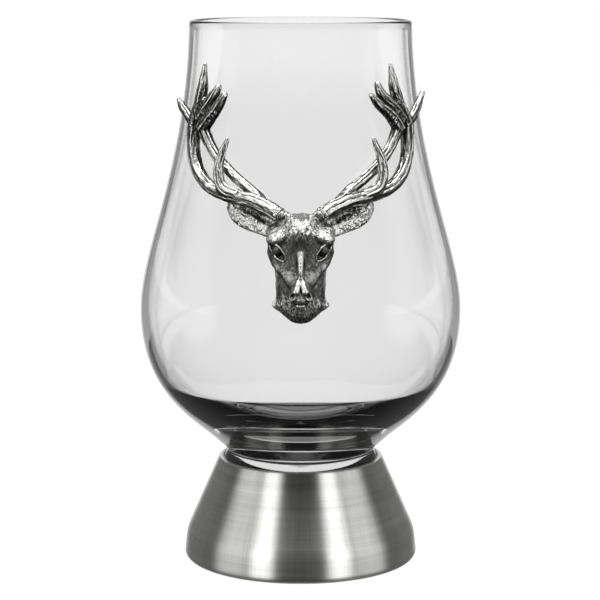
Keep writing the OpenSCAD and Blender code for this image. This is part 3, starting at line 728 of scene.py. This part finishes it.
# Skull and muzzle, by level sections: [up, half width, front, back]
skull = [
    [7.4, 1.5, -2.4, -4], [7.2, 2.6, -0.9, -4], [6.7, 4, 1.5, -4], [6, 5.2, 3.6, -3.5], [5.3, 6.1, 5.1, -3],
    [4.4, 6.5, 6.2, -3], [3.4, 6.6, 6.65, -3], [2.4, 6.5, 6.85, -3], [1.2, 6.35, 7.05, -2.5],
    [-0.6, 5.8, 7.5, -1.5], [-2.2, 5.1, 8, -0.5], [-3.6, 4, 8.8, 1.2], [-4.8, 2.9, 9.8, 3.2],
    [-5.8, 2.35, 10.6, 4.6], [-6.6, 2.2, 11, 5.6], [-7.6, 2.1, 11, 6.2], [-8.4, 1.8, 10.5, 6.6],
    [-9.1, 1.4, 9.6, 6.6], [-9.7, 0.8, 8.4, 6.4]]
wide, fore, aft = smooth_rows(skull, half.axes[2])
middle, deep = (fore + aft) / 2, (fore - aft) / 2
egg = np.sqrt((x / wide) ** 2 + ((o - middle) / deep) ** 2)
egg = (egg - 1) * np.minimum(wide, deep)
half.put(cuts, np.maximum(np.maximum(egg, u - 7.4), -9.7 - u), 0.01)

# Neck and bib: an outline over the glass, rounded in front
hem_line = spline([[4.8, -5.7], [4.55, -8], [4.75, -9.2], [5.2, -9.85], [4.6, -10.5], [3.9, -10.9],
                   [2.65, -12], [1.4, -12.9], [0, -13.2]], 5)
bib = np.concatenate([[[0, 3], [5.4, 3], [5.1, -3]], hem_line, [[-3, -13.2], [-3, 3]]])
plane_x, plane_u = np.meshgrid(half.axes[0], half.axes[2], indexing="ij")
inside, edge = np.zeros(plane_x.shape, bool), np.full(plane_x.shape, 1e9)
for a, b in zip(bib, np.roll(bib, -1, 0)):
    edge = np.minimum(edge, from_line(plane_x, plane_u, a, b)[1])
    if a[1] != b[1]:
        crossing = (b[0] - a[0]) * (plane_u - a[1]) / (b[1] - a[1]) + a[0]
        inside ^= ((a[1] > plane_u) != (b[1] > plane_u)) & (plane_x < crossing)
edge = np.where(inside, -edge, edge)
on_glass = np.sqrt(np.maximum(glass_r(FACE_Z + plane_u) ** 2 - plane_x ** 2, 0)) - FACE_R
swell = np.interp(plane_u, [-13.5, -12, -9.5, -6, 0], [0.9, 1.5, 2.2, 2.8, 3.2])
front = on_glass + 0.75 + swell * np.sqrt(np.clip(1 - (plane_x / 5.6) ** 2, 0, 1))
thick = o - front[:, None, :]
edge = edge[:, None, :]
half.put(cuts, np.maximum(edge, thick) + 0.25 * np.exp(-((edge - thick) / 0.5) ** 2), 0.5)
hem = []
for px, pu in hem_line:
    column = on_glass[min(int(px / CLAY_STEP), len(on_glass) - 1)]
    hem.append([px, float(np.interp(pu, half.axes[2], column)) + 0.95, pu])
half.roll(hem, np.interp(range(len(hem)), [0, 10, 16, 40], [0.15, 0.3, 0.42, 0.36]), 0.25)

# Brows, cheekbones, the hollow beside the nose and the ridge of the nose
half.egg([4.8, 4.7, 3.1], [2.0, 1.3, 1.5], 0.7, frame_of([1, -0.55, -0.1], [0.4, 0.8, 0.4]))
half.roll([[5.6, 3.7, 0.4], [4.9, 5.1, -1.4], [3.6, 6.6, -3], [2.3, 8, -4.7]], [0.45, 0.5, 0.4, 0.3], 1.6)
half.egg([2.4, 9.1, -3.2], [0.5, 0.55, 2.0], 1.1, frame_of([0, -1.5, 3], [0, 1, 0.5])[[1, 2, 0]], cut=True)
half.roll([[0, 6.3, 1.7], [0, 6.55, 1], [0, 7.6, -0.6], [0, 8.55, -2], [0, 9.25, -2.95], [0, 9.55, -3.9]],
          [0.6, 0.75, 0.72, 0.62, 0.52, 0.45], 0.5)

# Eye: an almond hollow that runs up and out, a ball in it, two lids and the slit below the inner corner
inner, outer = np.array([2.9, 6.75, -0.9]), np.array([6.1, 4.0, 2.15])
facing = np.array([0.62, 0.76, 0.2])
almond = frame_of(outer - inner, facing)
mid = (inner + outer) / 2 + [0.12, 0.3, 0.15]
half.egg(mid + 0.15 * almond[2], [2.25, 1.0, 1.0], 0.3, almond, cut=True)
half.egg(mid - 1.15 * almond[2] + [0.15, 0, 0.3], [1.35, 1.25, 1.2], 0.12)
for lid, radii in (
        ([[3.15, 6.9, 0.5], [4.0, 6.35, 1.7], [5.1, 5.35, 2.3]], [0.08, 0.12, 0.16, 0.16, 0.1]),
        ([[3.75, 6.6, -0.85], [4.75, 5.9, -0.3], [5.55, 4.9, 0.65]], [0.08, 0.12, 0.14, 0.12, 0.08])):
    half.roll([inner, *lid, outer], radii, 0.3)
half.roll([[3.0, 7.1, -0.9], [3.2, 7.6, -1.9], [3.5, 7.9, -2.8]], [0.16, 0.18, 0.08], 0.3, cut=True)

# Nose: wings with a furrow between, the bare pad, nostrils with rims, lips and chin
half.roll([[0.25, 9.4, -4], [0.55, 10.3, -5.2], [0.85, 10.9, -6.2]], [0.45, 0.65, 0.7], 0.4)
half.roll([[0, 10.7, -4.8], [0, 11.5, -5.9]], [0.1, 0.15], 0.15, cut=True)
half.egg([0, 10.15, -7.55], [1.7, 1.2, 1.3], 0.5)
ring = [[1.5 + 0.52 * math.cos(g) - 0.2 * math.sin(g), 10.7 - 0.4 * math.cos(g), -7.15 + 0.72 * math.sin(g)]
        for g in np.linspace(0, 2 * math.pi, 13)]
half.roll(ring, 0.2, 0.35)
half.roll([[1.45, 11.45, -7.2], [1.5, 10.45, -6.95], [1.35, 9.25, -6.6]], [0.3, 0.3, 0.2], 0.15, cut=True)
half.roll([[0, 10.75, -8.75], [0.8, 10.45, -8.7], [1.4, 9.7, -8.5]], [0.12, 0.12, 0.06], 0.15, cut=True)
half.roll([[0, 9.95, -9.15], [0.55, 9.8, -9.1], [0.95, 9.3, -8.95]], [0.36, 0.34, 0.2], 0.2)

# Ear: a leaf with two hairy folds and a dark hollow between them
ear_line = spline([[5.6, 4.9], [7.2, 5.5], [9.6, 6.2], [11.4, 6.9], [12.8, 8.1], [13.5, 9.2]], 6)
steps = np.linspace(0, 1, len(ear_line))
ear_half = np.interp(steps, [0, 0.15, 0.45, 0.65, 0.85, 0.95, 1], [2.0, 2.2, 2.2, 2.1, 1.45, 0.85, 0.3])
best, across = np.full(plane_x.shape, 1e9), np.zeros(plane_x.shape)
for i, (a, b) in enumerate(zip(ear_line, ear_line[1:])):
    way = unit(b - a)
    t, gap = from_line(plane_x, plane_u, a, b)
    width = ear_half[i] + (ear_half[i + 1] - ear_half[i]) * t
    side = (plane_u - a[1]) * way[0] - (plane_x - a[0]) * way[1]
    closer = gap - width < best
    best = np.where(closer, gap - width, best)
    across = np.where(closer, side / np.maximum(width, 0.3), across)
lie = on_glass + np.interp(plane_x, [5.5, 9, 14], [2.5, 1.6, 1.2])
folds = np.sqrt(np.clip(1 - 0.85 * across ** 2, 0, 1)) - 0.35 * np.exp(-((across - 0.25) / 0.22) ** 2)
top = lie + 0.2 + folds
leaf = np.maximum(np.maximum(best[:, None, :], o - top[:, None, :]), lie[:, None, :] - 0.55 - o)
half.put(cuts, leaf, 0.35)

# Pedicle under each antler, and the cap of the poll
seat = np.array([burr_at[0], -burr_at[1] - FACE_R, burr_at[2] - FACE_Z])
seat_way = np.array([burr_way[0], -burr_way[1], burr_way[2]])
half.roll([[2.1, 3.0, 5.2], seat - 0.2 * seat_way], [1.9, 1.3], 0.6)
half.egg([0, 1.2, 4.9], [4.4, 4.4, 1.8], 0.8)

# The other half, then the hair, which is nowhere the same on both sides
head = Clay((-14.88, 15), (-6.6, 13.8), (-14.6, 10.4))
head.axes[0] = np.concatenate([-half.axes[0][:0:-1], half.axes[0]])
head.field = np.concatenate([half.field[:0:-1], half.field])
rng = np.random.default_rng(7)


def hair(count, spot, spread, way, length, radius, turn=0.35):
    """Short locks laid on the surface round a spot, each a little out of line with the next."""
    surface = head.front()
    for _ in range(count):
        px, pu = np.asarray(spot) + rng.uniform(-1, 1, 2) * spread
        g = math.atan2(way[1], way[0]) + rng.normal(0, turn)
        run = []
        for t in np.linspace(0, 1, 4) * length * rng.uniform(0.7, 1.3):
            qx, qu = px + t * math.cos(g), pu + t * math.sin(g)
            i = int((qx - head.axes[0][0]) / CLAY_STEP)
            k = int((qu - head.axes[2][0]) / CLAY_STEP)
            if not (0 <= i < surface.shape[0] and 0 <= k < surface.shape[1]) or np.isnan(surface[i, k]):
                break
            run.append([qx, surface[i, k] + 0.02, qu])
        if len(run) == 4 and np.ptp([p[1] for p in run]) < 3 * length:
            head.roll(run, [radius * 0.7, radius, radius, radius * 0.4], 0.08)


for side in (-1, 1):
    hair(75, (side * 1.4, 6.1), (1.7, 1.6), (side * 0.35, -1), 1.2, 0.12)
    hair(60, (side * 1.3, 7.6), (1.6, 0.9), (side * 0.3, -1), 0.9, 0.15)
    hair(45, (side * 4.4, 4.3), (1.5, 1.2), (side * 0.8, -0.6), 0.9, 0.11)
    hair(70, (side * 10.2, 5.4), (2.9, 1.1), (side * 0.8, 0.55), 0.5, 0.22, 0.8)
    hair(55, (side * 10.2, 7.4), (2.7, 0.9), (side * 0.8, 0.55), 0.5, 0.22, 0.8)
    hair(30, (side * 2.6, -10.6), (1.8, 1.6), (side * 0.2, -1), 1.1, 0.1)

# Thicker locks run forward over the top of the poll
for px in np.linspace(-2.9, 2.9, 17):
    run = []
    for po in np.linspace(1.6, 5.2, 5):
        qx = px + rng.normal(0, 0.14)
        i, j = int((qx - head.axes[0][0]) / CLAY_STEP), int((po - head.axes[1][0]) / CLAY_STEP)
        solid = np.nonzero(head.field[i, j] < 0)[0]
        run.append([qx, po, head.axes[2][solid[-1]] + rng.uniform(-0.1, 0.12)])
    head.roll(run, rng.uniform(0.14, 0.34) * np.array([0.7, 1, 1, 1, 0.5]), 0.08)

x, o, u = np.meshgrid(*head.axes, indexing="ij", sparse=True)
z = FACE_Z + u
reach = np.hypot(x, FACE_R + o)
head.field = np.maximum(head.field, glass_r(z) + NECK_FILM - reach)
for side in (-1, 1):
    gaps = (x - side * seat[0], o - seat[1], u - seat[2])
    along = sum(g * w for g, w in zip(gaps, seat_way * [side, 1, 1]))
    beside = np.sqrt(np.maximum(sum(g * g for g in gaps) - along ** 2, 0))
    head.field = np.maximum(head.field, -np.maximum(-along - SOLDER, beside - BURR_R - BURR_CLEAR))
for axis in range(3):
    for end in (0, -1):
        head.field[(slice(None),) * axis + (end,)] = 1.0

grid = openvdb.FloatGrid(3.0)
grid.copyFromArray(head.field.astype(np.float32))
points, triangles, quads = grid.convertToPolygons(isovalue=0.0)
points = points * CLAY_STEP + [head.axes[0][0], head.axes[1][0], head.axes[2][0]]
# Where the rubbing brought the metal back up, together with painted highlights and painted shade: lines over
# the face as [aside, up], how wide, and how bright, or how dark where that is below 0
rubbed_and_painted_light = [
    # Poll, forelock, brows and forehead
    ([[0, 8], [0, 6.4]], 3.2, 0.7), ([[0, 8.4], [2, 8.2]], 1.6, 0.5),
    ([[0, 7], [1.8, 6.6], [2.8, 5.6]], 1.8, 0.5), ([[4.3, 5.6], [4.9, 3]], 1.8, 1.0),
    ([[0, 3.2], [0, 1.8]], 2.8, -0.15),
    # Ridge of the nose with its painted highlight, wings of the nose and cheek
    ([[0.05, 0.5], [0.05, -0.4]], 0.9, 0.9), ([[0.06, -0.4], [0.06, -2.6]], 0.6, 0.8),
    ([[0.2, -4.3], [1, -6]], 1.1, 0.85), ([[2.3, -3.2], [2, -3.9]], 0.9, 0.4),
    # Ear and its hollow
    ([[7, 4], [9, 5], [12.6, 7.4]], 3.4, 1.1), ([[7.2, 5.9], [9, 7], [11.6, 8.2]], 0.7, -1.0),
    # Nose pad and lip
    ([[0, -7.4], [0.9, -7.6]], 1.5, 0.55), ([[0, -8], [0.5, -8.1]], 0.9, 0.6),
    ([[0, -9.05], [0.45, -9.05]], 0.55, 0.95),
    # Hem of the bib and the bib
    ([[4.8, -2], [4.8, -6], [5.1, -9.7], [2.6, -12], [0, -13.2]], 0.8, 0.6),
    ([[0, -11], [3, -10]], 3, 0.45),
    # Lids of the eye, and painted shade on its ball
    ([[3.2, -0.4], [4.4, 0.9], [5.8, 2.2]], 1.5, 0.15), ([[4.2, 0.8], [4.7, 1.3]], 1.0, -0.4)]
shaggy = np.clip((abs(points[:, 2] + 2.2) - 4.5) / 2, 0, 1) + np.clip((abs(points[:, 0]) - 5) / 2, 0, 1)
furred = 0.45 + 0.55 * np.clip(shaggy, 0, 1)
# Everything off the lines starts darker, as unrubbed patina and painted shade
unrubbed_and_painted_light = np.full(len(points), 0.3)
for line, width, much in rubbed_and_painted_light:
    gap = np.full(len(points), 99.0)
    for a, b in zip(line, line[1:]):
        gap = np.minimum(gap, from_line(abs(points[:, 0]), points[:, 2], a, b)[1])
    fade = np.clip(1 - gap / width, 0, 1)
    unrubbed_and_painted_light -= much * fade * fade * (3 - 2 * fade)
points = np.stack([points[:, 0], -FACE_R - points[:, 1], FACE_Z + points[:, 2]], 1) * MM
mesh = bpy.data.meshes.new("stag_head_cast")
mesh.from_pydata(points.tolist(), [], triangles.tolist() + quads.tolist())
mesh.flip_normals()
mesh.attributes.new("unrubbed_and_painted_light", "FLOAT", "POINT").data.foreach_set("value", unrubbed_and_painted_light)
mesh.attributes.new("furred", "FLOAT", "POINT").data.foreach_set("value", furred)
piece = grow("stag_head_cast", mesh, casting_tree(), Material=pewter, **{"Recess Depth": 0.14 * MM})
outward(piece)
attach(piece, "root")
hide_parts("stag_head")

for node, material in (("antler_solder", solder), ("neck_bond", adhesive), ("antler_dabs", adhesive)):
    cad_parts[node].data.materials.clear()
    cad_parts[node].data.materials.append(material)

# Stage: white paper, a card behind the glass, and soft boxes above, behind and beside it, in metres

# Degrees to each side at which the backdrop has a dark gap, and where the flags farther back begin and close
GAP_AT, FLAG_FROM, FLAG_FULL = 27, 12.5, 18
# How far off the flags begin and stand in full, and from where on the paper counts as behind the glass
FLAG_NEAR, FLAG_FAR, BEHIND_Y = 1.2, 2.4, 0.15
FLOOR_REACH = 6.0
CARD_HALF, CARD_Y, CARD_LOW, CARD_TOP = 0.06, 0.15, 0.085, 0.35
# How far off the side boxes stand, how high their middles are, and how tall they are
BOX_OFF, BOX_MIDDLE, BOX_TALL = 0.8, 0.25, 1.5


def aside_angle(tree, x, y):
    """How far to either side of straight back a way or a place lies."""
    turn = add(tree, "Math", [x, y], "ARCTAN2")
    return add(tree, "Math", [turn], "ABSOLUTE")


def backdrop_level(tree, aside):
    """White behind the glass, with a dark gap to each side that draws the glass's edges."""
    off = add(tree, "Math", [aside, math.radians(GAP_AT)], "SUBTRACT")
    off = add(tree, "Math", [off], "ABSOLUTE")
    return add(tree, "MapRange", [off, math.radians(1.5), math.radians(7), 0.25, 1.0],
               interpolation_type="SMOOTHSTEP")


def white_paper():
    # Matt white paper: white to the camera, and as bright as the backdrop where a refraction looks at it
    material, tree, place = new_material("white_paper")
    ray = add(tree, "LightPath").outputs
    way = add(tree, "SeparateXYZ", [place]).outputs
    reach = add(tree, "VectorMath", [place], "LENGTH").outputs["Value"]
    under = add(tree, "Math", [reach, FOOT_R * MM], "LESS_THAN")
    behind = add(tree, "Math", [way["Y"], BEHIND_Y], "GREATER_THAN")
    there = add(tree, "Math", [under, behind], "MAXIMUM")
    once = add(tree, "Math", [ray["Glossy Depth"], 1.5], "LESS_THAN")
    once = add(tree, "Math", [once, there], "MULTIPLY")
    direct = add(tree, "Math", [ray["Glossy Depth"], 0.5], "LESS_THAN")
    direct = add(tree, "Math", [direct, once], "MAXIMUM")
    through = add(tree, "Math", [ray["Is Transmission Ray"], direct], "MULTIPLY")
    seen = add(tree, "Math", [ray["Is Camera Ray"], through], "MAXIMUM")
    fill = add(tree, "Mix", {0: seen, 6: linear("#3c3c3c"), 7: linear("#444444")}, data_type="RGBA")
    # Farther back dark flags stand closer in, which draws a thin dark line inside each upper wall
    aside = aside_angle(tree, way["X"], way["Y"])
    flags = add(tree, "MapRange", [aside, math.radians(FLAG_FROM), math.radians(FLAG_FULL), 1.0, 0.04],
                interpolation_type="SMOOTHSTEP")
    far = add(tree, "MapRange", [reach, FLAG_NEAR, FLAG_FAR])
    level = add(tree, "Mix", {0: far, 2: backdrop_level(tree, aside), 3: flags})
    # What the inside of the wall turns aside shows grey
    deep = add(tree, "Math", [ray["Transmission Depth"], 2.5], "GREATER_THAN")
    turned = add(tree, "Math", [ray["Glossy Depth"], 0.5], "GREATER_THAN")
    turned = add(tree, "Math", [turned, deep], "GREATER_THAN")
    wide = add(tree, "MapRange", [aside, math.radians(6), math.radians(10)])
    turned = add(tree, "Math", [turned, wide], "MULTIPLY")
    level = add(tree, "Mix", {0: turned, 2: level, 3: 0.5})
    # Far off the lamps add less, so the paper gives the more itself
    even = add(tree, "MapRange", [reach, 0.6, 2.2, 0.9, 1.09])
    level = add(tree, "Math", [level, even], "MULTIPLY")
    # Under the foot the paper is in shade, but for the back of the hollow, which the waist shows as a collar
    shade = add(tree, "MapRange", [way["Y"], 0.008, 0.014, 0.2, 1.0])
    shade = add(tree, "Mix", {0: deep, 2: shade, 3: 0.2})
    level = add(tree, "Mix", {0: under, 2: level, 3: shade})
    level = add(tree, "Mix", {0: ray["Is Camera Ray"], 2: level, 3: 1.0})
    glow = add(tree, "Math", [seen, level], "MULTIPLY")
    paper = add(tree, "BsdfPrincipled", {
        "Base Color": fill.outputs[2], "Roughness": 0.9, "Specular IOR Level": 0.0,
        "Emission Color": linear("#ffffff"), "Emission Strength": glow})
    add(tree, "OutputMaterial", {"Surface": paper})
    return material


def white_card():
    # A lit card that only shows in what polished metal mirrors. One refraction in and one out is light
    # turned inside the glass wall, not mirrored by metal
    material, tree, _ = new_material("white_card")
    ray = add(tree, "LightPath").outputs
    mirrored = add(tree, "Math", [ray["Glossy Depth"], 0.5], "GREATER_THAN")
    walled = add(tree, "Math", [ray["Transmission Depth"], 1.5, 1.0], "COMPARE")
    shown = add(tree, "Math", [mirrored, walled], "GREATER_THAN")
    card = add(tree, "BsdfPrincipled", {
        "Base Color": linear("#000000"), "Specular IOR Level": 0.0, "Alpha": shown,
        "Emission Color": linear("#ffffff"), "Emission Strength": 0.9})
    add(tree, "OutputMaterial", {"Surface": card})
    return material


def sheet(name, corners, material):
    mesh = bpy.data.meshes.new(name)
    mesh.from_pydata(corners, [], [(0, 1, 2, 3)])
    mesh.materials.append(material)
    obj = bpy.data.objects.new(name, mesh)
    obj.visible_shadow = False
    bpy.context.scene.collection.objects.link(obj)
    return obj


def paper_floor():
    r = FLOOR_REACH
    obj = sheet("paper_floor", [(-r, -r, 0), (r, -r, 0), (r, r, 0), (-r, r, 0)], white_paper())
    # Polished surfaces mirror the room straight on below the horizon, so that no edge of paper crosses them
    obj.visible_glossy = False
    return obj


def back_card():
    corners = [(side * CARD_HALF, CARD_Y, z) for side, z in
               ((-1, CARD_LOW), (1, CARD_LOW), (1, CARD_TOP), (-1, CARD_TOP))]
    return sheet("back_card", corners, white_card())


paper_floor()
back_card()

# The lamps are kept off the bowl, as by flags and a filter on the lens, so that it shows no streaks
off_the_glass = bpy.data.collections.new("off_the_glass")
off_the_glass.objects.link(bpy.data.objects["bowl_of_crystal"])
off_the_glass.collection_objects[0].light_linking.link_state = "EXCLUDE"


def soft_box(name, place, target, size, level):
    """A rectangular lamp whose face is as bright as the level, where 1 is white."""
    light = bpy.data.lights.new(name, "AREA")
    light.shape, light.size, light.size_y = "RECTANGLE", size[0], size[1]
    light.energy = level * math.pi * size[0] * size[1]
    obj = bpy.data.objects.new(name, light)
    obj.location = place
    obj.rotation_euler = (Vector(target) - Vector(place)).to_track_quat("-Z", "Y").to_euler()
    # Brightest in the middle and falling off to its edges, as light through cloth does
    light.use_nodes = True
    tree = light.node_tree
    across = add(tree, "SeparateXYZ", [add(tree, "NewGeometry").outputs["Parametric"]]).outputs
    fades = []
    for i in (0, 1):
        off = add(tree, "Math", [across[i], 0.5], "SUBTRACT")
        off = add(tree, "Math", [off], "ABSOLUTE")
        fades.append(add(tree, "MapRange", [off, 0.5, 0.18], interpolation_type="SMOOTHSTEP"))
    strength = add(tree, "Math", [fades[0], fades[1]], "MULTIPLY")
    tree.links.new(strength.outputs[0], tree.nodes["Emission"].inputs["Strength"])
    obj.visible_camera = False
    obj.visible_transmission = False
    obj.light_linking.receiver_collection = off_the_glass
    bpy.context.scene.collection.objects.link(obj)


soft_box("top_box", (0, 0.13, 0.8), (0, 0.13, 0.06), (1.4, 1.4), 4.0)
soft_box("back_box", (0, 0.72, 0.74), (0, 0, 0.08), (1.2, 0.9), 3.0)
for side in (-1, 1):
    for label, turn, width, level in (("key", 39, 0.46, 2.6), ("fill", 72, 0.75, 1.1)):
        g = math.radians(turn)
        soft_box(label + "_box", (side * BOX_OFF * math.sin(g), -BOX_OFF * math.cos(g), BOX_MIDDLE),
                 (0, 0, BOX_MIDDLE), (width, BOX_TALL), level)

world = bpy.data.worlds.new("studio")
bpy.context.scene.world = world
world.use_nodes = True
tree = world.node_tree
tree.nodes.clear()
ray = add(tree, "LightPath").outputs
way = add(tree, "SeparateXYZ", [add(tree, "TexCoord").outputs["Generated"]]).outputs
aside = aside_angle(tree, way["X"], way["Y"])
level_x = add(tree, "Math", [way["X"]], "ABSOLUTE")
# Reflections see a dark room in front of the glass, the white backdrop behind it and the table below
room = add(tree, "MapRange", [way["Y"], -0.2, 0.5, 0.07, 0.2])
backdrop = add(tree, "MapRange", [aside, math.radians(24), math.radians(18), 0.0, 0.9])
table = add(tree, "MapRange", [way["Y"], 0.75, 0.93, 0.0, 0.9])
below = add(tree, "MapRange", [way["Z"], 0.05, -0.4])
table = add(tree, "Math", [table, below], "MULTIPLY")
for part in (backdrop, table):
    room = add(tree, "Math", [room, part], "MAXIMUM")
# Refractions see the backdrop as the floor shows it, up to a dark ceiling
ceiling = add(tree, "MapRange", [way["Z"], 0.45, 0.7, 1.1, 0.04])
paper = add(tree, "Math", [backdrop_level(tree, aside), ceiling], "MULTIPLY")
# Light that the glass itself mirrors sees bright sides and the foot of the backdrop, and little else
mirror = add(tree, "MapRange", [way["Y"], 0.0, 0.4, 0.003, 0.012])
front = add(tree, "MapRange", [level_x, 0.5, 0.25, 0.0, 0.1])
ahead = add(tree, "Math", [way["Y"], 0.0], "LESS_THAN")
front = add(tree, "Math", [front, ahead], "MULTIPLY")
sides = add(tree, "MapRange", [level_x, 0.9, 0.97, 0.0, 0.9])
sides = add(tree, "Math", [sides, ceiling], "MULTIPLY")
low = add(tree, "MapRange", [way["Z"], 0.14, 0.08])
middle = add(tree, "MapRange", [level_x, 0.14, 0.06, 0.0, 0.08])
rise = add(tree, "MapRange", [way["Z"], 0.3, 0.22])
middle = add(tree, "Math", [middle, rise], "MULTIPLY")
low = add(tree, "Math", [low, middle], "MAXIMUM")
for part in (add(tree, "Math", [way["Y"], 0.3], "GREATER_THAN"), paper):
    low = add(tree, "Math", [low, part], "MULTIPLY")
for part in (front, sides, low):
    mirror = add(tree, "Math", [mirror, part], "MAXIMUM")
inside = add(tree, "Math", [ray["Transmission Depth"], 0.5], "GREATER_THAN")
room = add(tree, "Mix", {0: inside, 2: room, 3: mirror})
direct = add(tree, "Math", [ray["Glossy Depth"], 0.5], "LESS_THAN")
through = add(tree, "Math", [ray["Is Transmission Ray"], direct], "MULTIPLY")
level = add(tree, "Mix", {0: through, 2: room, 3: paper})
level = add(tree, "Mix", {0: ray["Is Camera Ray"], 2: level, 3: 1.0})
back = add(tree, "Background", {"Color": linear("#ffffff"), "Strength": level})
add(tree, "OutputWorld", {"Surface": back})

# Camera, a little above the rim and looking down on it, as its fit to the photograph's curves gave it

CAMERA_AT, CAMERA_DOWN, LENS, SENSOR = (-0.00012, -0.4456, 0.12595), 9.09, 129.06, 36

camera = bpy.data.objects.new("camera", bpy.data.cameras.new("camera"))
camera.data.lens = LENS
camera.data.sensor_width = SENSOR
camera.data.dof.use_dof = False
camera.location = CAMERA_AT
camera.rotation_euler = (math.radians(90 - CAMERA_DOWN), 0, 0)
bpy.context.scene.collection.objects.link(camera)
bpy.context.scene.camera = camera

bpy.context.scene.view_settings.view_transform = "Standard"
